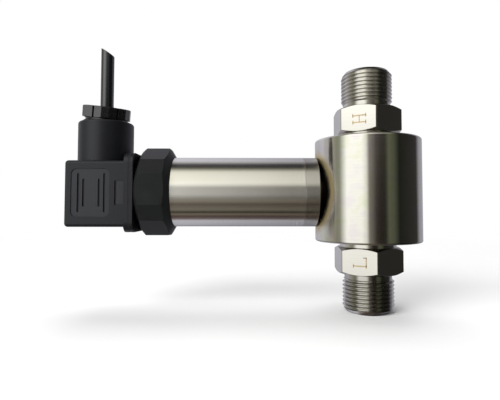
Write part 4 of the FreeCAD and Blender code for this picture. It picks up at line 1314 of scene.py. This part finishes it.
# Tones over and under the object, by angle round the tube's axis: 0 in front, 90 above, -90 below.
ARCH_TONES: Stops = (
    (-180.0, (0.36, 0.36, 0.40)),
    (-150.0, (0.25, 0.25, 0.29)),
    (-122.0, (0.33, 0.34, 0.385)),
    (-110.0, (0.36, 0.355, 0.395)),
    (-103.0, (0.11, 0.09, 0.09)),
    (-95.0, (0.066, 0.046, 0.041)),
    (-87.0, (0.055, 0.039, 0.035)),
    (-79.0, (0.15, 0.128, 0.098)),
    (-72.0, (0.004, 0.003, 0.003)),
    (-62.0, (0.13, 0.118, 0.093)),
    (-40.0, (0.066, 0.052, 0.042)),
    (-26.0, (0.22, 0.185, 0.14)),
    (-10.0, (0.38, 0.34, 0.28)),
    (6.0, (0.85, 0.82, 0.74)),
    (20.0, (1.15, 1.13, 1.03)),
    (36.0, (0.76, 0.75, 0.68)),
    (46.0, (0.75, 0.745, 0.68)),
    (68.0, (0.66, 0.655, 0.59)),
    (80.0, (0.18, 0.18, 0.14)),
    (87.0, (0.034, 0.032, 0.033)),
    (101.0, (0.030, 0.030, 0.030)),
    (111.0, (0.26, 0.255, 0.27)),
    (122.0, (0.44, 0.44, 0.49)),
    (152.0, (0.38, 0.38, 0.43)),
    (180.0, (0.36, 0.36, 0.40)),
)


def stage_object(name: str, mesh: bmesh.types.BMesh) -> bpy.types.Object:
    """An object that isn't part of the transmitter.

    Args:
        name: Its name.
        mesh: Its mesh, which is freed.

    Returns:
        The object.
    """
    thing = mesh_object(name, mesh)
    return thing


def background_rays(graph: Graph) -> bpy.types.NodeSocket:
    """1 for rays that show the background: from the camera, gloss or glass.

    Args:
        graph: The graph.

    Returns:
        The factor.
    """
    path = graph.add("ShaderNodeLightPath").outputs
    direct = graph.math("MAXIMUM", path["Is Camera Ray"], path["Is Glossy Ray"])
    return graph.math("MAXIMUM", direct, path["Is Transmission Ray"])


@dataclass
class Surround:
    """The studio walls that only polished surfaces see: soft boxes, dark flags and pale paper.

    Climbs are in degrees over the horizon, and sides are shares of the radius along X. The soft box over the
    front left wall has four edges in each direction: it starts, is full, stays full to the third and ends.
    """

    radius: float = 1.6
    segments: int = 96
    strength: float = 1.55
    arch_climb: Span = (13.0, 37.0)
    arch_side: Span = (0.40, 0.68)
    arch_light_side: Span = (-0.45, 0.30)
    arch_light: Span = (1.6, 0.38)
    dim_climb: Span = (-26.0, -4.0)
    dimmest: float = 0.3
    box_gain: float = 0.4
    box_climb: tuple[float, ...] = (13.0, 19.0, 26.0, 33.0)
    box_side: tuple[float, ...] = (0.26, 0.40, 0.72, 0.86)

    def build(self) -> None:
        """Makes the sphere and its glow."""
        mesh = bmesh.new()
        bmesh.ops.create_uvsphere(
            mesh, u_segments=self.segments, v_segments=self.segments // 2, radius=self.radius
        )
        surround = stage_object("surround", mesh)
        surround.visible_camera = False
        surround.visible_diffuse = False
        surround.visible_transmission = False
        surround.visible_shadow = False
        surround.visible_volume_scatter = False
        material, graph, shader = new_material("studio_surround")
        x, y, z = graph.axes(graph.vector("NORMALIZE", graph.place()))
        front = graph.math("MULTIPLY", y, -1.0)
        climb = graph.math("DIVIDE", graph.math("ARCSINE", z), math.pi / 180.0)
        dim = graph.fit(climb, self.dim_climb, (self.dimmest, 1.0))
        level = graph.math("MULTIPLY", dim, self._soft_box(graph, x, climb))
        walls = graph.vector("SCALE", self._ring(graph, x, front, WALL_TONES), level)
        light = graph.fit(x, self.arch_light_side, self.arch_light, smooth=False)
        arch = graph.vector("SCALE", self._ring(graph, z, front, ARCH_TONES), light)
        share = graph.fit(graph.math("ABSOLUTE", climb), self.arch_climb)
        aside = graph.fit(graph.math("ABSOLUTE", x), self.arch_side, (1.0, 0.0))
        tone = graph.blend(graph.math("MULTIPLY", share, aside), walls, arch)
        glow = graph.result(graph.add("ShaderNodeEmission"), tone, self.strength)
        graph.put(material.node_tree.nodes["Material Output"].inputs["Surface"], glow)
        material.node_tree.nodes.remove(shader)
        surround.data.materials.append(material)

    @staticmethod
    def _ring(graph: Graph, sine: object, cosine: object, tones: Stops) -> bpy.types.NodeSocket:
        """The tone that a table gives for an angle.

        Args:
            graph: The material's graph.
            sine: What grows with the angle's sine.
            cosine: What grows with its cosine.
            tones: Angles in degrees and their tones.

        Returns:
            The tone.
        """
        turn = graph.math("DIVIDE", graph.math("ARCTAN2", sine, cosine), 2.0 * math.pi)
        stops = [(angle / 360.0 + 0.5, colour) for angle, colour in tones]
        return graph.ramp(graph.math("ADD", turn, 0.5), stops)

    def _soft_box(self, graph: Graph, x: object, climb: object) -> bpy.types.NodeSocket:
        """How much brighter the soft box makes its wall.

        Args:
            graph: The material's graph.
            x: How far the wall lies to the right.
            climb: How high it lies.

        Returns:
            The factor, 1 outside the box.
        """
        tones = (BLACK, WHITE, WHITE, BLACK)
        upright = 90.0
        rows = [(edge / upright, tone) for edge, tone in zip(self.box_climb, tones)]
        high = graph.ramp(graph.math("DIVIDE", climb, upright), rows)
        leftward = graph.ramp(graph.math("MULTIPLY", x, -1.0), list(zip(self.box_side, tones)))
        return graph.math("MULTIPLY_ADD", graph.math("MULTIPLY", high, leftward), self.box_gain, 1.0)


@dataclass
class Studio:
    """Floor, surround, lamps, world and camera. The eye is in millimetres and angles are in radians."""

    lens: float = 29.42
    sensor: float = 36.0
    shift: Span = (-0.01366, -0.0177)
    clip: Span = (0.005, 50.0)
    eye: Point = (-45.25, -164.27, 40.77)
    yaw: float = -0.005
    pitch: float = 0.041
    roll: float = -0.001
    floor_radius: float = 4.0
    floor_tone: Colour = (0.86, 0.86, 0.86)
    floor_fade: Span = (0.06, 0.5)
    lamp_target: Point = (-0.05, 0.0, 0.05)
    ambient: float = 0.36

    def build(self) -> None:
        """Sets up everything round the object."""
        self.build_camera()
        self.build_floor()
        Surround().build()
        self.build_lamps()
        self.build_world()

    def build_camera(self) -> None:
        """The camera at the viewing angle of the photograph."""
        data = bpy.data.cameras.new("camera")
        data.sensor_width = self.sensor
        data.lens = self.lens
        data.shift_x, data.shift_y = self.shift
        data.clip_start, data.clip_end = self.clip
        camera = linked("camera", data)
        turn = Matrix.Rotation(self.yaw, 4, "Z") @ Matrix.Rotation(self.pitch, 4, "X")
        turn = turn @ Matrix.Rotation(self.roll, 4, "Y") @ Matrix.Rotation(math.pi / 2, 4, "X")
        camera.matrix_world = Matrix.Translation(Vector(self.eye) * MM) @ turn
        bpy.context.scene.camera = camera

    def build_floor(self) -> None:
        """A round pale floor that fades to white far from the object."""
        mesh = bmesh.new()
        bmesh.ops.create_circle(mesh, cap_ends=True, segments=128, radius=self.floor_radius)
        floor = stage_object("floor", mesh)
        material, graph, shader = new_material("pale_floor")
        graph.feed(shader, {
            "Base Color": (*self.floor_tone, 1.0), "Roughness": 0.9, "Specular IOR Level": 0.0,
        })
        far = graph.fit(graph.vector("LENGTH", graph.place()), self.floor_fade)
        white = graph.result(graph.add("ShaderNodeEmission"), (*WHITE, 1.0), 1.0)
        fade = graph.math("MULTIPLY", far, background_rays(graph))
        mix = graph.result(graph.add("ShaderNodeMixShader"), fade, shader.outputs[0], white)
        graph.put(material.node_tree.nodes["Material Output"].inputs["Surface"], mix)
        floor.data.materials.append(material)
        floor.visible_glossy = False

    def build_lamps(self) -> None:
        """A large soft lamp at the front left, a weaker one at the right and one above."""
        target = Vector(self.lamp_target)
        for name, place, size, power in (
            ("key", (-0.75, -0.75, 0.65), 0.8, 16.0),
            ("fill", (0.9, -0.5, 0.35), 0.9, 1.5),
            ("top", (0.0, 0.35, 1.1), 0.9, 7.0),
        ):
            data = bpy.data.lights.new(name, "AREA")
            data.energy = power
            data.size = size
            lamp = linked(name, data)
            lamp.location = place
            lamp.rotation_euler = (target - lamp.location).to_track_quat("-Z", "Y").to_euler()
            lamp.visible_glossy = False

    def build_world(self) -> None:
        """Even light from all round, and white where the background shows."""
        world = bpy.data.worlds.new("world")
        world.use_nodes = True
        bpy.context.scene.world = world
        graph = Graph(world.node_tree)
        even = graph.result(world.node_tree.nodes["Background"], (*WHITE, 1.0), self.ambient)
        white = graph.result(graph.add("ShaderNodeBackground"), (*WHITE, 1.0), 1.0)
        mix = graph.result(graph.add("ShaderNodeMixShader"), background_rays(graph), even, white)
        graph.put(world.node_tree.nodes["World Output"].inputs["Surface"], mix)


# The finer moulded faces on both sides of the plug: the panel, and the short face between it and the rim.
PLUG_PANELS = (
    ((106.33, 12.55, 46.38), (7.15, 0.1, 9.0)),
    ((94.95, 12.85, 46.38), (1.55, 0.1, 4.4)),
)


def main() -> None:
    """Builds the pieces, the studio and the camera."""
    logging.basicConfig(level=logging.INFO, format="%(name)s: %(message)s")
    # The port steel carries painted shade in its thread roots and necks.
    port_steel = TurnedSteel(
        "port_steel", Turning.PORTS, roughness=0.18, colour=(0.61, 0.59, 0.55),
        shade=(0.56, 0.535, 0.495), stretch=0.4, recess_shade=RecessShade(),
    )
    # The body steel carries heat tint and painted shade of the gap at the neck.
    body_steel = TurnedSteel("body_steel", Turning.PORTS, roughness=0.14, bloom=0.45, heat_tint_and_gap_shade=HeatTintAndGapShade())
    ring_steel = TurnedSteel(
        "ring_steel", Turning.TUBE, roughness=0.25, colour=(0.54, 0.52, 0.48), shade=(0.48, 0.46, 0.42)
    )
    tube_steel = TurnedSteel(
        "tube_steel", Turning.TUBE, roughness=0.25, colour=(0.74, 0.72, 0.675), shade=(0.68, 0.655, 0.605)
    )
    satin = MouldedPlastic("satin_black", (0.0044, 0.0049, 0.0080), gloss=0.40, panels=PLUG_PANELS)
    adapter = MouldedPlastic("adapter_black", (0.0120, 0.0126, 0.0128), roughness=0.36, gloss=0.07)
    gland = MouldedPlastic("gland_black", (0.003, 0.0035, 0.005), roughness=0.26, gloss=1.0)
    jacket = MouldedPlastic("cable_jacket", (0.003, 0.004, 0.007), roughness=0.2, gloss=1.0)
    letter_fill = MouldedPlastic("letter_fill", (0.44, 0.34, 0.20), roughness=0.9, gloss=0.05)

    steel, fill = port_steel.build(), letter_fill.build()
    for side in Side:
        PortFitting(side, steel, fill).build()
    SensorBody(body_steel.build()).build()
    TubeHousing(ring_steel.build(), tube_steel.build()).build()
    BlackMouldings(satin.build(), adapter.build()).build()
    GlandTop(gland.build()).build()
    CableStub(jacket.build()).build()
    InnerParts().build()
    Studio().build()
    bpy.context.scene.view_settings.view_transform = "Standard"


if __name__ == "__main__":
    main()
